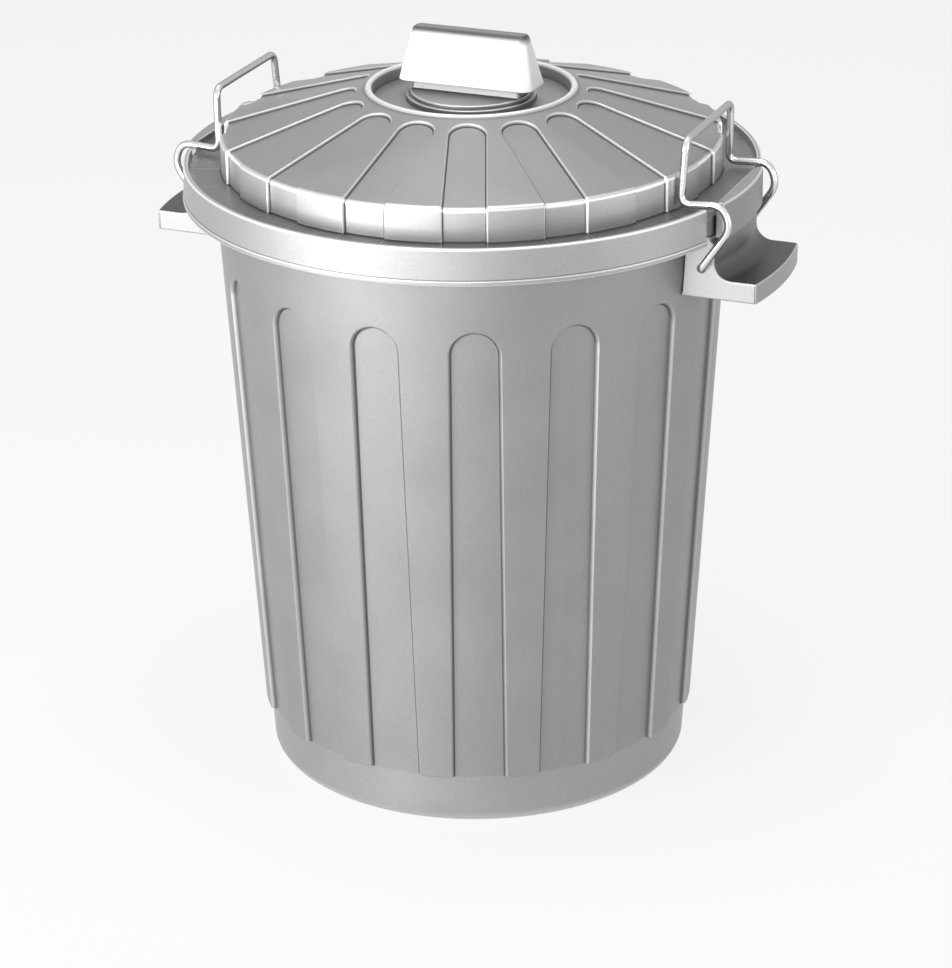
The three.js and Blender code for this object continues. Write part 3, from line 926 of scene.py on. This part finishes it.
@dataclass(frozen=True)
class Tub:
    """The tapered tub, with its flutes, its rim and its base band."""

    depth: float = 2.2 * MM  # of the flutes and of the base band
    foot: float = 21.5 * MM  # where the ribs end
    springing: float = 202.55 * MM
    foot_half: float = 10.3 * MM
    top_half: float = 9.45 * MM
    top: float = 216.0 * MM  # where the sector ends over the arch
    rim_z: float = 244.7 * MM
    rim_drop: float = 7.5 * MM
    floor: float = 4.4 * MM
    base_edge: float = 5.0 * MM  # rounding of the base's outer edge
    ring_width: float = 5.0 * MM  # of the ring that the tub stands on
    ring_height: float = 2.0 * MM
    flute_parts: int = 8  # along a flute's straight part
    recess: float = 0.75 * MM  # half the width of a flute's rounded edge

    def rib(self, z: float) -> float:
        """Radius of the rib cone at a height."""
        return RIB_R + TAPER * z

    def level(self, z: float, wall: float = 0.0, stands: float = 1.0) -> Level:
        """The wall at a height, set in by a wall where it is the inside."""
        share = (z - self.foot) / (self.springing - self.foot)
        half = lerp(self.foot_half, self.top_half, share) + wall
        r = self.rib(z) - wall
        return Level(Spot(r, z), Spot(r - self.depth, z), half, stands)

    def flutes(self, ribs: RecessedWall, wall: float) -> list[list[Dot]]:
        """The rows of the fluted wall, from the base band up to the top of the sector."""
        foot = self.foot + wall
        rows = [ribs.straight_row(self.level(foot + up * MM, wall, stands)) for up, stands in RIB_RISE]
        start = foot + RIB_RISE[-1][0] * MM
        for share in shares(self.flute_parts)[1:-1]:
            rows.append(ribs.straight_row(self.level(lerp(start, self.springing, share), wall)))
        level = partial(self.level, wall=wall)
        return rows + ribs.arch(level, self.springing, self.top, self.top_half + wall)

    def zone(self, spot: Spot) -> Tone:
        """The painted light of a part of the wall: the base band is painted paler, a painted highlight.
        """
        return Tone.BASE_BAND if spot.z < self.foot else Tone.PLAIN

    def sector(self) -> Skin:
        """One of the sixteen sectors, closed but for its borders."""
        ribs = RecessedWall(FLUTES, self.recess, self.zone)
        skin = Skin()
        edge = self.base_edge
        ring_r = self.rib(edge) - self.depth - edge
        under = [
            (0.0, self.ring_height, 0.0),
            (ring_r - self.ring_width - MM, self.ring_height, 0.8 * MM),
            (ring_r - self.ring_width, 0.0, 0.5 * MM),
            (ring_r, 0.0, 0.0),
        ]
        line = rounded(under)[:-1] + arc(ring_r, edge, edge, -90, 0, 8)
        skin.grid(turned(line, ribs.foot_angles(self.level(edge, stands=0.0)), self.zone))
        below = RIB_RISE[0][0] * MM
        heights = [lerp(edge, self.foot + below, share) for share in shares(3)]
        skin.grid([ribs.straight_row(self.level(z, stands=0.0)) for z in heights])
        skin.grid(self.flutes(ribs, 0.0))
        skin.grid(turned(self.rim_outline(), ribs.top_angles(), plain))
        skin.grid(self.flutes(ribs, WALL)[::-1])
        low = self.foot + WALL + below
        inside = [
            (self.rib(low) - WALL - self.depth, low, 0.0),
            (self.rib(self.floor) - WALL - self.depth, self.floor, 4 * MM),
            (0.0, self.floor, 0.0),
        ]
        skin.grid(turned(rounded(inside), ribs.foot_angles(self.level(low, WALL, 0.0)), plain))
        return skin

    def rim_outline(self) -> list[Spot]:
        """The outline over the flutes: up the wall, out and round the rim, and down inside."""
        under = self.rim_z - WALL
        drop = self.rim_z - self.rim_drop
        return rounded(
            [
                (self.rib(self.top), self.top, 0.0),
                (self.rib(under), under, 2.0 * MM),
                (RIM_R - WALL, under, 0.8 * MM),
                (RIM_R - WALL, drop, 0.5 * MM),
                (RIM_R, drop, 0.5 * MM),
                (RIM_R, self.rim_z, 0.9 * MM),
                (self.rib(self.rim_z) - WALL, self.rim_z, 0.9 * MM),
                (self.rib(self.top) - WALL, self.top, 0.0),
            ]
        )

    def build(self, shop: Workshop) -> None:
        """Makes the tub and hangs it on its body."""
        values = {"Count": FLUTES, "Turn": 0.0, "Finish": shop.finishes[Slot.TUB]}
        mesh = shop.repeat.run("tub_moulding", self.sector().mesh("Tub sector"), values)
        shop.finish("tub_moulding", mesh, Slot.TUB, "tub", "tub")


# ---- Lid ----


@dataclass(frozen=True)
class Lid:
    """The lid: gutter, dome with its petals, dish, skirt and the plug under the hand grip."""

    gutter: float = 247.0 * MM
    plate_r: float = 110.4 * MM  # where the gutter's plate ends inside the skirt
    dome_z: float = 260.6 * MM
    slope: float = 0.29193
    depth: float = 1.3 * MM  # of the petals
    turn: float = math.radians(-1.9)
    springing_r: float = 52.1 * MM  # where a petal's round inner end starts
    inner_r: float = 43.0 * MM  # where the sector ends inside the petals
    rim_half: float = 8.2 * MM
    tip_half: float = 7.1 * MM
    recess: float = 0.55 * MM
    ring_r: float = 40.0 * MM
    ring_bead: float = 1.4 * MM
    ring_z: float = 276.8 * MM
    dish: float = 273.0 * MM
    step_r: float = 25.2 * MM
    foot_r: float = 23.6 * MM
    step: float = 275.0 * MM
    foot: float = 276.5 * MM
    skirt_r: float = 112.686 * MM
    skirt_foot: float = 235.8 * MM
    skirt_top: float = 250.0 * MM
    slot_in: float = 23.5 * MM
    slot_out: float = 32.5 * MM
    panel_step: float = 1.2 * MM
    ledge_x: float = 108.286 * MM
    end_round: float = 0.45 * MM
    bead: float = 0.4 * MM  # how far the skirt's foot stands out
    skirt_parts: int = 150  # round one half of the skirt
    panel_parts: int = 24
    plug_ends: float = 4.2 * MM  # how far the plug stands clear of the hand grip's inside
    plug_sides: float = 1.3 * MM
    plug_round: float = 0.6 * MM
    plug_height: float = 8.0 * MM
    plug_wall: float = 1.6 * MM
    screw_x: float = 13.0 * MM
    screw_hole: float = 1.8 * MM

    @property
    def skirt_in(self) -> float:
        """Inner radius of the skirt."""
        return self.skirt_r - WALL

    def cone(self, r: float) -> float:
        """Height of the cone at a radius."""
        return self.dome_z + (DOME_R - r) * self.slope

    def zone(self, spot: Spot) -> Tone:
        """The painted light or shade of a part of the dome: painted shade in the gutter, a painted
        highlight on the dome wall.
        """
        if spot.z < self.gutter + 0.4 * MM:
            return Tone.GUTTER
        if spot.r > DOME_R - self.depth - 0.3 * MM and spot.z < self.dome_z - 0.6 * MM:
            return Tone.DOME_WALL
        return Tone.PLAIN

    def middle_zone(self, spot: Spot) -> Tone:
        """The painted light of a part inside the petals: a painted highlight on the centre ring's bead.
        """
        on_ring = abs(spot.r - self.ring_r) < self.ring_bead + 0.1 * MM and spot.z > self.dish + MM
        return Tone.RING if on_ring else Tone.PLAIN

    def wall_line(self, sunk: float) -> list[Spot]:
        """The outline of the gutter, the dome wall and the cone, at the ribs or in the petals."""
        wall_r = DOME_R - sunk
        return rounded(
            [
                (self.plate_r, self.gutter, 0.0),
                (wall_r, self.gutter, 0.8 * MM),
                (wall_r, self.cone(wall_r) - sunk, 1.5 * MM),
                (self.springing_r, self.cone(self.springing_r) - sunk, 0.0),
            ],
            steps=5,
            spans=4,
        )

    def along(self, way: float) -> Level:
        """The cone's level at a way in from the dome wall."""
        r = DOME_R - way
        return Level(Spot(r, self.cone(r)), Spot(r, self.cone(r) - self.depth), self.half(r))

    def half(self, r: float) -> float:
        """Half the width of a petal at a radius."""
        share = (DOME_R - r) / (DOME_R - self.springing_r)
        return lerp(self.rim_half, self.tip_half, share)

    def sector(self) -> Skin:
        """One of the sixteen sectors, closed but for its borders and its outer edge."""
        petals = RecessedWall(PETALS, self.recess, self.zone, arch_parts=20)
        skin = Skin()
        raised, sunk = self.wall_line(0.0), self.wall_line(self.depth)
        levels = [Level(a, b, self.half(a.r)) for a, b in zip(raised, sunk)]
        skin.grid([petals.straight_row(level) for level in levels])
        ways = DOME_R - self.springing_r, DOME_R - self.inner_r
        skin.grid(petals.arch(self.along, *ways, self.tip_half))
        skin.grid(turned(self.middle_line(), petals.top_angles(), self.middle_zone))
        skin.grid(turned(self.under_line(), petals.foot_angles(levels[0]), plain))
        return skin

    def middle_line(self) -> list[Spot]:
        """The outline of the centre ring, the dish and the foot of the hand grip."""
        start_r = self.ring_r + self.ring_bead
        # The ring's outer foot is marked as a root, which the finish paints as shade.
        start = [Spot(self.inner_r, self.cone(self.inner_r)), Spot(start_r, self.cone(start_r), -0.7)]
        dish = rounded(
            [
                (self.ring_r - self.ring_bead, self.ring_z, 0.0),
                (self.ring_r - self.ring_bead, self.dish, 0.8 * MM),
                (self.step_r, self.dish, 0.5 * MM),
                (self.step_r, self.step, 0.5 * MM),
                (self.foot_r, self.step, 0.4 * MM),
                (self.foot_r, self.foot, 0.6 * MM),
                (0.0, self.foot, 0.0),
            ]
        )
        return start + arc(self.ring_r, self.ring_z, self.ring_bead, 14, 180, 8) + dish[1:]

    def under_line(self) -> list[Spot]:
        """The outline of the underside, from the axis out to the edge of the gutter's plate."""
        under = self.depth + WALL
        foot_r, ring_r = self.foot_r - WALL, self.ring_r
        wall_r = DOME_R - under
        below = self.gutter - WALL
        line = rounded(
            [
                (0.0, self.foot - WALL, 0.0),
                (foot_r, self.foot - WALL, 0.5 * MM),
                (foot_r, self.dish - WALL, 0.5 * MM),
                (ring_r - WALL, self.dish - WALL, 0.5 * MM),
                (ring_r, self.cone(ring_r) - under, 0.8 * MM),
                (wall_r, self.cone(wall_r) - under, 1.0 * MM),
                (wall_r, below, 0.5 * MM),
                (self.plate_r, below, 0.0),
            ]
        )
        return line + [Spot(self.plate_r, self.gutter)]

    def skirt(self, skin: Skin) -> None:
        """Adds the skirt's front and back, and the two panels between the slots."""
        bead = self.skirt_r + self.bead
        section = rounded(
            [
                (self.skirt_in, self.skirt_foot + 2 * MM, 0.0),
                (self.skirt_in, self.skirt_foot, 0.35 * MM),
                (bead, self.skirt_foot, 0.35 * MM),
                (bead, self.skirt_foot + 1.7 * MM, 0.3 * MM),
                (self.skirt_r, self.skirt_foot + 2.1 * MM, 0.3 * MM),
                (self.skirt_r, self.skirt_top, 0.9 * MM),
                (self.skirt_in, self.skirt_top, 0.5 * MM),
                (self.skirt_in - 0.6 * MM, self.gutter, 0.3 * MM),
                (self.skirt_in - 0.6 * MM, self.gutter - 1.6 * MM, 0.0),
                (self.skirt_in, self.gutter - WALL, 0.0),
            ]
        )
        near = rounded_end(section, self.slot_out, 1.0, self.end_round)
        middle = [Column(near[-1].y, section, share) for share in shares(self.skirt_parts)[1:-1]]
        far = [Column(column.y, column.section, 1.0) for column in near[::-1]]
        for turn in (0.0, HALF_TURN):
            band(skin, near + middle + far, partial(self.on_skirt, turn=turn))
            self.panel(skin, turn)

    def on_skirt(self, spot: Spot, column: Column, turn: float) -> Dot:
        """Puts a spot of the skirt's section at a column."""
        start = math.asin(column.y / spot.r)
        angle = lerp(start, HALF_TURN - start, column.share) + turn
        # The whole skirt is painted paler, a painted highlight.
        return around(spot, angle, Tone.SKIRT.value)

    def panel(self, skin: Skin, turn: float) -> None:
        """Adds the panel and its ledge between the slots of one flank."""
        face = self.skirt_r + self.panel_step
        section = rounded(
            [
                (self.skirt_in, self.skirt_foot + 2 * MM, 0.0),
                (self.skirt_in, self.skirt_foot, 0.35 * MM),
                (face, self.skirt_foot, 0.5 * MM),
                (face, self.skirt_top, 1.0 * MM),
                (self.ledge_x, self.skirt_top, 0.6 * MM),
                (self.ledge_x, self.gutter - 0.6 * MM, 0.0),
                (self.skirt_in - 0.3 * MM, self.gutter - 1.6 * MM, 0.0),
                (self.skirt_in, self.gutter - WALL, 0.0),
            ],
            spans=2,
        )
        near = rounded_end(section, -self.slot_in, 1.0, self.end_round)
        start = near[-1].y
        parts = shares(self.panel_parts)[1:-1]
        middle = [Column(lerp(start, -start, share), section) for share in parts]
        far = rounded_end(section, self.slot_in, -1.0, self.end_round)[::-1]
        side = math.cos(turn)

        def place(spot: Spot, column: Column) -> Dot:
            """Bends the panel's outside round the lid and leaves its ledge straight."""
            bend = max(0.0, min(1.0, (spot.r - self.ledge_x - 0.6 * MM) / MM))
            x = lerp(spot.r, math.sqrt(spot.r**2 - column.y**2), bend)
            # The panel is painted a little paler, a painted highlight.
            return Dot(side * x, side * column.y, spot.z, Tone.PANEL.value, spot.edge)

        band(skin, near + middle + far, place)

    def plug(self, name: str, low: float, high: float, wall: float) -> bpy.types.Mesh:
        """Makes the plug that fills the hand grip's mouth, or its hollow where a wall is given."""
        ends, sides = WALL + self.plug_ends + wall, WALL + self.plug_sides + wall
        stations = [(low, 0.0)]
        for angle in QUARTER:
            cut = self.plug_round * (1 - math.cos(angle))
            stations.append((high - self.plug_round * (1 - math.sin(angle)), cut))
        rings = [Block().ring(z, ends + cut, sides + cut, PAINTED_EDGE * (cut > 0)) for z, cut in stations]
        skin = Skin()
        skin.stack(rings)
        return skin.mesh(name)

    def build(self, shop: Workshop) -> None:
        """Makes the lid and hangs it on its body."""
        values = {"Count": PETALS, "Turn": self.turn, "Finish": shop.finishes[Slot.LID]}
        dome = shop.repeat.run("Lid dome", self.sector().mesh("Lid sector"), values)
        top = self.foot + self.plug_height
        ceiling = top - self.plug_wall
        hollow = self.plug("Plug hollow", self.dish - 2 * WALL, ceiling, self.plug_wall)
        tools = [("UNION", self.plug("Plug", self.foot - MM, top, 0.0)), ("DIFFERENCE", hollow)]
        for x in (-self.screw_x, self.screw_x):
            place = Matrix.Translation((x, 0, top))
            tools.append(("DIFFERENCE", rod("Screw drill", self.screw_hole, 4 * WALL, place)))
        dome = carved(dome, *tools)
        skin = Skin()
        self.skirt(skin)
        mesh = joined("lid_moulding", dome, skin.mesh("Lid skirt"))
        shop.finish("lid_moulding", mesh, Slot.LID, "lid", "lid")


# ---- Hand grip ----


@dataclass(frozen=True)
class Block:
    """The hand grip: a hollow block along X, narrow at its top and open at its foot."""

    foot: float = 279.5 * MM
    top: float = 300.0 * MM
    foot_x: float = 27.9 * MM
    foot_y: float = 9.0 * MM
    crest_x: float = 23.5 * MM
    crest_y: float = 3.3 * MM
    foot_corner: float = 4.0 * MM
    crest_corner: float = 2.6 * MM
    crest_round: float = 1.4 * MM
    crest_band: float = 2.6 * MM  # how far down the crest's painted dark reflection reaches
    lip: float = 0.5 * MM  # rounding of the foot's edges

    def ring(self, z: float, ends: float, sides: float, edge: float = 0.0) -> list[Dot]:
        """A rounded rectangle that follows the block's sides.

        Args:
            z: Its height.
            ends: How far it is set in from the block's ends.
            sides: How far it is set in from the block's long sides.
            edge: Edge value of its dots.

        Returns:
            The ring, counter-clockwise from above.
        """
        share = (z - self.foot) / (self.top - self.foot)
        x = lerp(self.foot_x, self.crest_x, share) - ends
        y = lerp(self.foot_y, self.crest_y, share) - sides
        corner = lerp(self.foot_corner, self.crest_corner, share) - sides
        corner = min(max(corner, WALL / 4), 0.95 * y)
        # The crest band carries painted dark reflection.
        tone = Tone.CREST if z > self.top - self.crest_band else Tone.PLAIN
        found = []
        for cx, cy, start in ((1, 1, 0), (-1, 1, 1), (-1, -1, 2), (1, -1, 3)):
            for t in shares(8):
                angle = (start + t) * math.pi / 2
                px = cx * (x - corner) + corner * math.cos(angle)
                py = cy * (y - corner) + corner * math.sin(angle)
                found.append(Dot(px, py, z, tone.value, edge))
        return found

    def lip_ring(self, angle: float, wall: float) -> list[Dot]:
        """A ring of the foot's rounding, on its inner edge where a wall is given."""
        cut = abs(wall - self.lip * (1 - math.cos(angle)))
        z = self.foot + self.lip * (1 - math.sin(angle))
        return self.ring(z, cut, cut, PAINTED_EDGE * math.sin(angle))

    def skin(self) -> Skin:
        """The closed skin, from the cavity's ceiling round the foot and up to the crest."""
        crest = self.top - self.crest_round
        ceiling = crest - WALL / 2
        rings = [self.ring(z, WALL, WALL) for z in (ceiling, lerp(ceiling, self.foot, 0.5))]
        rings += [self.lip_ring(angle, WALL) for angle in QUARTER]
        rings += [self.lip_ring(angle, 0.0) for angle in QUARTER[::-1]]
        rings += [self.ring(lerp(self.foot + self.lip, crest, s), 0, 0) for s in shares(8)[1:]]
        # The crest's rounding is marked as an edge, which the hand grip's finish paints darker, a painted
        # dark reflection.
        for share in shares(6)[1:]:
            angle = share * math.pi / 2
            cut = self.crest_round * (1 - math.cos(angle))
            z = crest + self.crest_round * math.sin(angle)
            rings.append(self.ring(z, cut, cut, math.sin(2 * angle)))
        skin = Skin()
        skin.stack(rings)
        return skin

    def build(self, shop: Workshop) -> None:
        """Makes the hand grip and hangs it on the lid."""
        mesh = self.skin().mesh("hand_grip_moulding")
        shop.finish("hand_grip_moulding", mesh, Slot.HAND_GRIP, "lid", "lid_grip")


# ---- Side grips ----


@dataclass(frozen=True)
class SideGrip:
    """A scoop under the rim, open below, with a cheek at each end that carries a bail."""

    side: Side
    half: float = 25.8 * MM
    cheek: float = 2.2 * MM
    top: float = 236.9 * MM
    step: float = 235.5 * MM
    back_step: float = 1.8 * MM
    lip_r: float = 127.986 * MM
    lip_top: float = 220.2 * MM
    lip_foot: float = 212.3 * MM
    scoop: float = 6.5 * MM
    end_round: float = 0.5 * MM
    hole: float = 1.8 * MM
    lip_flat: float = 0.6 * MM  # breadth of the lip's top that is left without painted shade
    parts: int = 24  # from cheek to cheek

    @property
    def pivot_place(self) -> Matrix:
        """Place of the bail's axis, with its length along Z."""
        x, z = PIVOT
        return Matrix.Translation((x, 0, z)) @ Matrix.Rotation(math.pi / 2, 4, "X")

    def zone(self, spot: Spot, column: Column) -> float:
        """The painted shade of a part of the grip: the scoop is painted darker from its back down to its
        floor.
        """
        scooped = self.lip_r - self.lip_flat > spot.r > RIM_R - MM and spot.z > self.lip_top - 0.1 * MM
        if abs(column.y) > self.half - self.end_round or not scooped:
            return Tone.PLAIN.value
        share = min(1.0, (spot.z - self.lip_top) / (1.6 * self.scoop))
        return lerp(Tone.SCOOP_FLOOR.value, Tone.SCOOP_BACK.value, share)

    def outside(self) -> list[Spot]:
        """The outline from the foot of the lip up over the scoop to the rim."""
        back = RIM_R + self.back_step
        middle = back + self.scoop
        lip = rounded(
            [
                (self.lip_r - WALL, self.lip_foot, 0.0),
                (self.lip_r, self.lip_foot, 0.5 * MM),
                (self.lip_r, self.lip_top, 0.7 * MM),
                (middle, self.lip_top, 0.0),
            ],
            spans=2,
        )
        curve = arc(middle, self.lip_top + self.scoop, self.scoop, 270, 180, 10)
        # The scoop's curve is marked as a faint root, which the finish paints as shade.
        curve = [spot._replace(edge=-0.25 * spot.edge) for spot in curve]
        rise = rounded(
            [
                (back, self.lip_top + self.scoop, 0.0),
                (back, self.step - self.back_step, 0.5 * MM),
                (RIM_R, self.step, 0.5 * MM),
                (RIM_R, self.top, 0.0),
            ]
        )
        return lip[:-1] + curve[:-1] + rise

    def inside(self) -> list[Spot]:
        """The scoop's inner outline, from the rim down to the lip."""
        back = RIM_R + self.back_step - WALL
        radius = self.scoop + WALL
        middle = back + radius
        fall = [
            Spot(RIM_R - WALL, self.top),
            Spot(RIM_R - WALL, self.step - WALL),
            Spot(back, self.step - self.back_step - WALL),
        ]
        curve = arc(middle, self.lip_top - WALL + radius, radius, 180, 270, 10)
        lip = [Spot(self.lip_r - WALL, self.lip_top - WALL), Spot(self.lip_r - WALL, self.lip_foot + MM)]
        return fall + [spot._replace(edge=0.0) for spot in curve] + lip

    def filled(self, count: int) -> list[Spot]:
        """The cheek's inner outline along the tub's wall, in as many spots as the scoop's."""
        heights = [lerp(self.top, self.lip_foot, share) for share in shares(count - 3)]
        upright = [Spot(RIB_R + FIT + TAPER * z, z) for z in heights]
        return upright + [mid(upright[-1], Spot(self.lip_r - WALL, self.lip_foot), s) for s in (0.5, 0.9)]

    def columns(self) -> list[Column]:
        """The sections across the grip, from one cheek's face to the other's."""
        outside, inside = self.outside(), self.inside()
        open_section = inside + outside
        full_section = self.filled(len(inside)) + outside
        inner = self.half - self.cheek
        near = rounded_end(full_section, -self.half, 1.0, self.end_round)
        near += [Column(-inner, full_section), Column(-inner, open_section)]
        parts = shares(self.parts)[1:-1]
        middle = [Column(lerp(-inner, inner, share), open_section) for share in parts]
        far = [Column(-column.y, column.section) for column in near[::-1]]
        return near + middle + far

    def build(self, shop: Workshop) -> None:
        """Makes the grip and hangs it on the tub."""
        name = f"side_grip_{self.side.word}_moulding"
        skin = Skin()

        def place(spot: Spot, column: Column) -> Dot:
            """Bends the section round the tub."""
            x = math.sqrt(spot.r**2 - column.y**2)
            return Dot(x, column.y, spot.z, self.zone(spot, column), spot.edge)

        band(skin, self.columns(), place)
        drill = rod("Pivot drill", self.hole, 4 * self.half, self.pivot_place)
        mesh = carved(skin.mesh(name), ("DIFFERENCE", drill))
        mesh.transform(self.side.turn)
        shop.finish(name, mesh, Slot.GRIP, "tub", "side_grip_" + self.side.word)


# ---- Bails ----


@dataclass(frozen=True)
class Bail:
    """A bail bent from one wire, which pivots in the cheeks of a side grip."""

    side: Side
    wire_r: float = 1.46 * MM
    sides: int = 20  # of the wire
    bend_parts: int = 10
    arm_y: float = 28.0 * MM
    end_y: float = 22.6 * MM
    crossbar_half: float = 26.2 * MM
    knee: tuple[float, float] = (12.0 * MM, 17.6 * MM)  # out and up from the pivot
    shoulder: float = 9.0 * MM  # out from the pivot
    run: float = 249.5 * MM  # height of the elbow, where the wire meets the dome
    fall: float = 1.1 * MM  # from the shoulder to the elbow
    elbow_gap: float = 2.1 * MM  # from the dome wall to the wire's middle
    crossbar: tuple[float, float] = (-6.5 * MM, 49.7 * MM)  # out and up from the pivot

    def corners(self, flank: float) -> list[tuple[Vector, float]]:
        """The corners of one arm and the length of each bend along its runs."""
        x, z = PIVOT
        places = (
            (x, self.end_y, z, 0.0),
            (x, self.arm_y, z, 2.6),
            (x + self.knee[0], self.arm_y, z + self.knee[1], 4.2),
            (x + self.shoulder, self.arm_y, self.run + self.fall, 4.8),
            (math.sqrt(DOME_R**2 - self.arm_y**2) + self.elbow_gap, self.arm_y, self.run, 3.9),
            (x + self.crossbar[0], self.crossbar_half, z + self.crossbar[1], 4.2),
        )
        return [(Vector((px, flank * py, pz)), bend * MM) for px, py, pz, bend in places]

    def path(self) -> list[Vector]:
        """Points along the wire's middle line."""
        corners = self.corners(-1.0) + self.corners(1.0)[::-1]
        points = [corners[0][0]]
        for (before, _), (here, bend), (after, _) in zip(corners, corners[1:], corners[2:]):
            start = here + (before - here).normalized() * bend
            end = here + (after - here).normalized() * bend
            for share in shares(self.bend_parts):
                points.append(start.lerp(here, share).lerp(here.lerp(end, share), share))
        return points + [corners[-1][0]]

    def build(self, shop: Workshop) -> None:
        """Makes the bail and hangs it on its body."""
        points = self.path()
        line = bpy.data.meshes.new("Wire path")
        line.from_pydata(points, [(i, i + 1) for i in range(len(points) - 1)], [])
        values = {"Radius": self.wire_r, "Sides": self.sides, "Finish": shop.finishes[Slot.WIRE]}
        name = f"bail_{self.side.word}_wire"
        mesh = shop.sweep.run(name, line, values)
        mesh.transform(self.side.turn)
        body = "bail_" + self.side.word
        shop.finish(name, mesh, Slot.WIRE, body, body)


# ---- Studio ----

WHITE = (1.0, 1.0, 1.0, 1.0)
PAPER = (0.8, 0.8, 0.8, 1.0)
AIM = (0.0, 0.0, 0.16)  # where the lamps look


@dataclass(frozen=True)
class Lamp:
    """A soft square light that looks at a point."""

    name: str
    place: tuple[float, float, float]
    power: float  # watts
    size: float = 0.7
    target: tuple[float, float, float] = AIM

    def build(self) -> None:
        """Puts the light in the scene."""
        data = bpy.data.lights.new(self.name, "AREA")
        data.shape = "SQUARE"
        data.size = self.size
        data.energy = self.power
        made = placed(self.name, data)
        made.location = self.place
        aim = Vector(self.target) - Vector(self.place)
        made.rotation_euler = aim.to_track_quat("-Z", "Y").to_euler()


@dataclass(frozen=True)
class Viewpoint:
    """Where the photo was taken from, fitted to its outline."""

    azimuth: float = math.radians(22.5)
    elevation: float = math.radians(23.012)
    distance: float = 1.4739
    height: float = 0.11005
    aside: float = -0.00002
    roll: float = math.radians(-0.672)
    lens: float = 135.35  # millimetres
    sensor: float = 36.0

    def build(self) -> None:
        """Makes the camera."""
        turn, rise = self.azimuth, self.elevation
        back = Vector((math.sin(turn) * math.cos(rise), -math.cos(turn) * math.cos(rise), math.sin(rise)))
        right = Vector((math.cos(turn), math.sin(turn), 0.0))
        up = back.cross(right)
        place = Vector((0, 0, self.height)) + right * self.aside + back * self.distance
        across = right * math.cos(self.roll) + up * math.sin(self.roll)
        above = up * math.cos(self.roll) - right * math.sin(self.roll)
        data = bpy.data.cameras.new("Viewpoint")
        data.sensor_width = self.sensor
        data.lens = self.lens
        made = placed("Viewpoint", data)
        axes = Matrix((across, above, back)).transposed().to_4x4()
        made.matrix_world = Matrix.Translation(place) @ axes
        bpy.context.scene.camera = made


@dataclass(frozen=True)
class Studio:
    """The white surroundings and the lights."""

    lamps: tuple[Lamp, ...]
    room: float = 0.15  # strength of the even light from all round
    white: float = 1.0  # strength of the background that is seen
    shadow: float = 0.16  # how much of the floor's colour comes from the light on it
    floor_half: float = 3.0

    def build(self) -> None:
        """Makes the surroundings."""
        for lamp in self.lamps:
            lamp.build()
        scene = bpy.context.scene
        scene.view_settings.view_transform = "Standard"
        world = bpy.data.worlds.new("White room")
        bench = Bench.of(world)
        room = bench.node("ShaderNodeBackground", {"Color": WHITE, "Strength": self.room}).outputs[0]
        white = bench.node("ShaderNodeBackground", {"Color": WHITE, "Strength": self.white}).outputs[0]
        sky = bench.blend(bench.seen(), room, white)
        bench.node("ShaderNodeOutputWorld", {"Surface": sky})
        scene.world = world
        self.floor()

    def floor(self) -> None:
        """Makes the white floor, which keeps a soft shadow of the bin."""
        mesh = bpy.data.meshes.new("Floor")
        half = self.floor_half
        corners = [(-half, -half, 0), (half, -half, 0), (half, half, 0), (-half, half, 0)]
        mesh.from_pydata(corners, [], [(0, 1, 2, 3)])
        made = placed("Floor", mesh)
        material = bpy.data.materials.new("White floor")
        bench = Bench.of(material)
        paper = bench.node("ShaderNodeBsdfDiffuse", {"Color": PAPER}).outputs[0]
        white = bench.node("ShaderNodeEmission", {"Color": WHITE, "Strength": self.white}).outputs[0]
        shaded = bench.blend(self.shadow, white, paper)
        ground = bench.blend(bench.seen(), paper, shaded)
        bench.node("ShaderNodeOutputMaterial", {"Surface": ground})
        mesh.materials.append(material)


STUDIO = Studio(
    lamps=(
        Lamp("Left key", (-0.600, -1.256, 0.306), 19.0),
        Lamp("Front left fill", (0.061, -1.391, 0.306), 8.0),
        Lamp("Far left fill", (-1.027, -0.940, 0.306), 5.0),
        Lamp("Right fill", (1.390, -0.061, 0.306), 5.0),
        Lamp("Top", (0.0, 0.0, 1.6), 11.0),
    )
)


def dress_screws(shop: Workshop) -> None:
    """Gives their steel to the two grip screws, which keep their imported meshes."""
    for name in ("grip_screw_left", "grip_screw_right"):
        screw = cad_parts[name]
        screw.data.materials.clear()
        screw.data.materials.append(shop.finishes[Slot.SCREW])


def main() -> None:
    """Builds the bin and its surroundings."""
    logging.basicConfig(level=logging.INFO, format="%(levelname)s %(message)s")
    shop = Workshop.open()
    Tub().build(shop)
    Lid().build(shop)
    Block().build(shop)
    for side in Side:
        SideGrip(side).build(shop)
        Bail(side).build(shop)
    dress_screws(shop)
    Viewpoint().build()
    STUDIO.build()


if __name__ == "__main__":
    main()
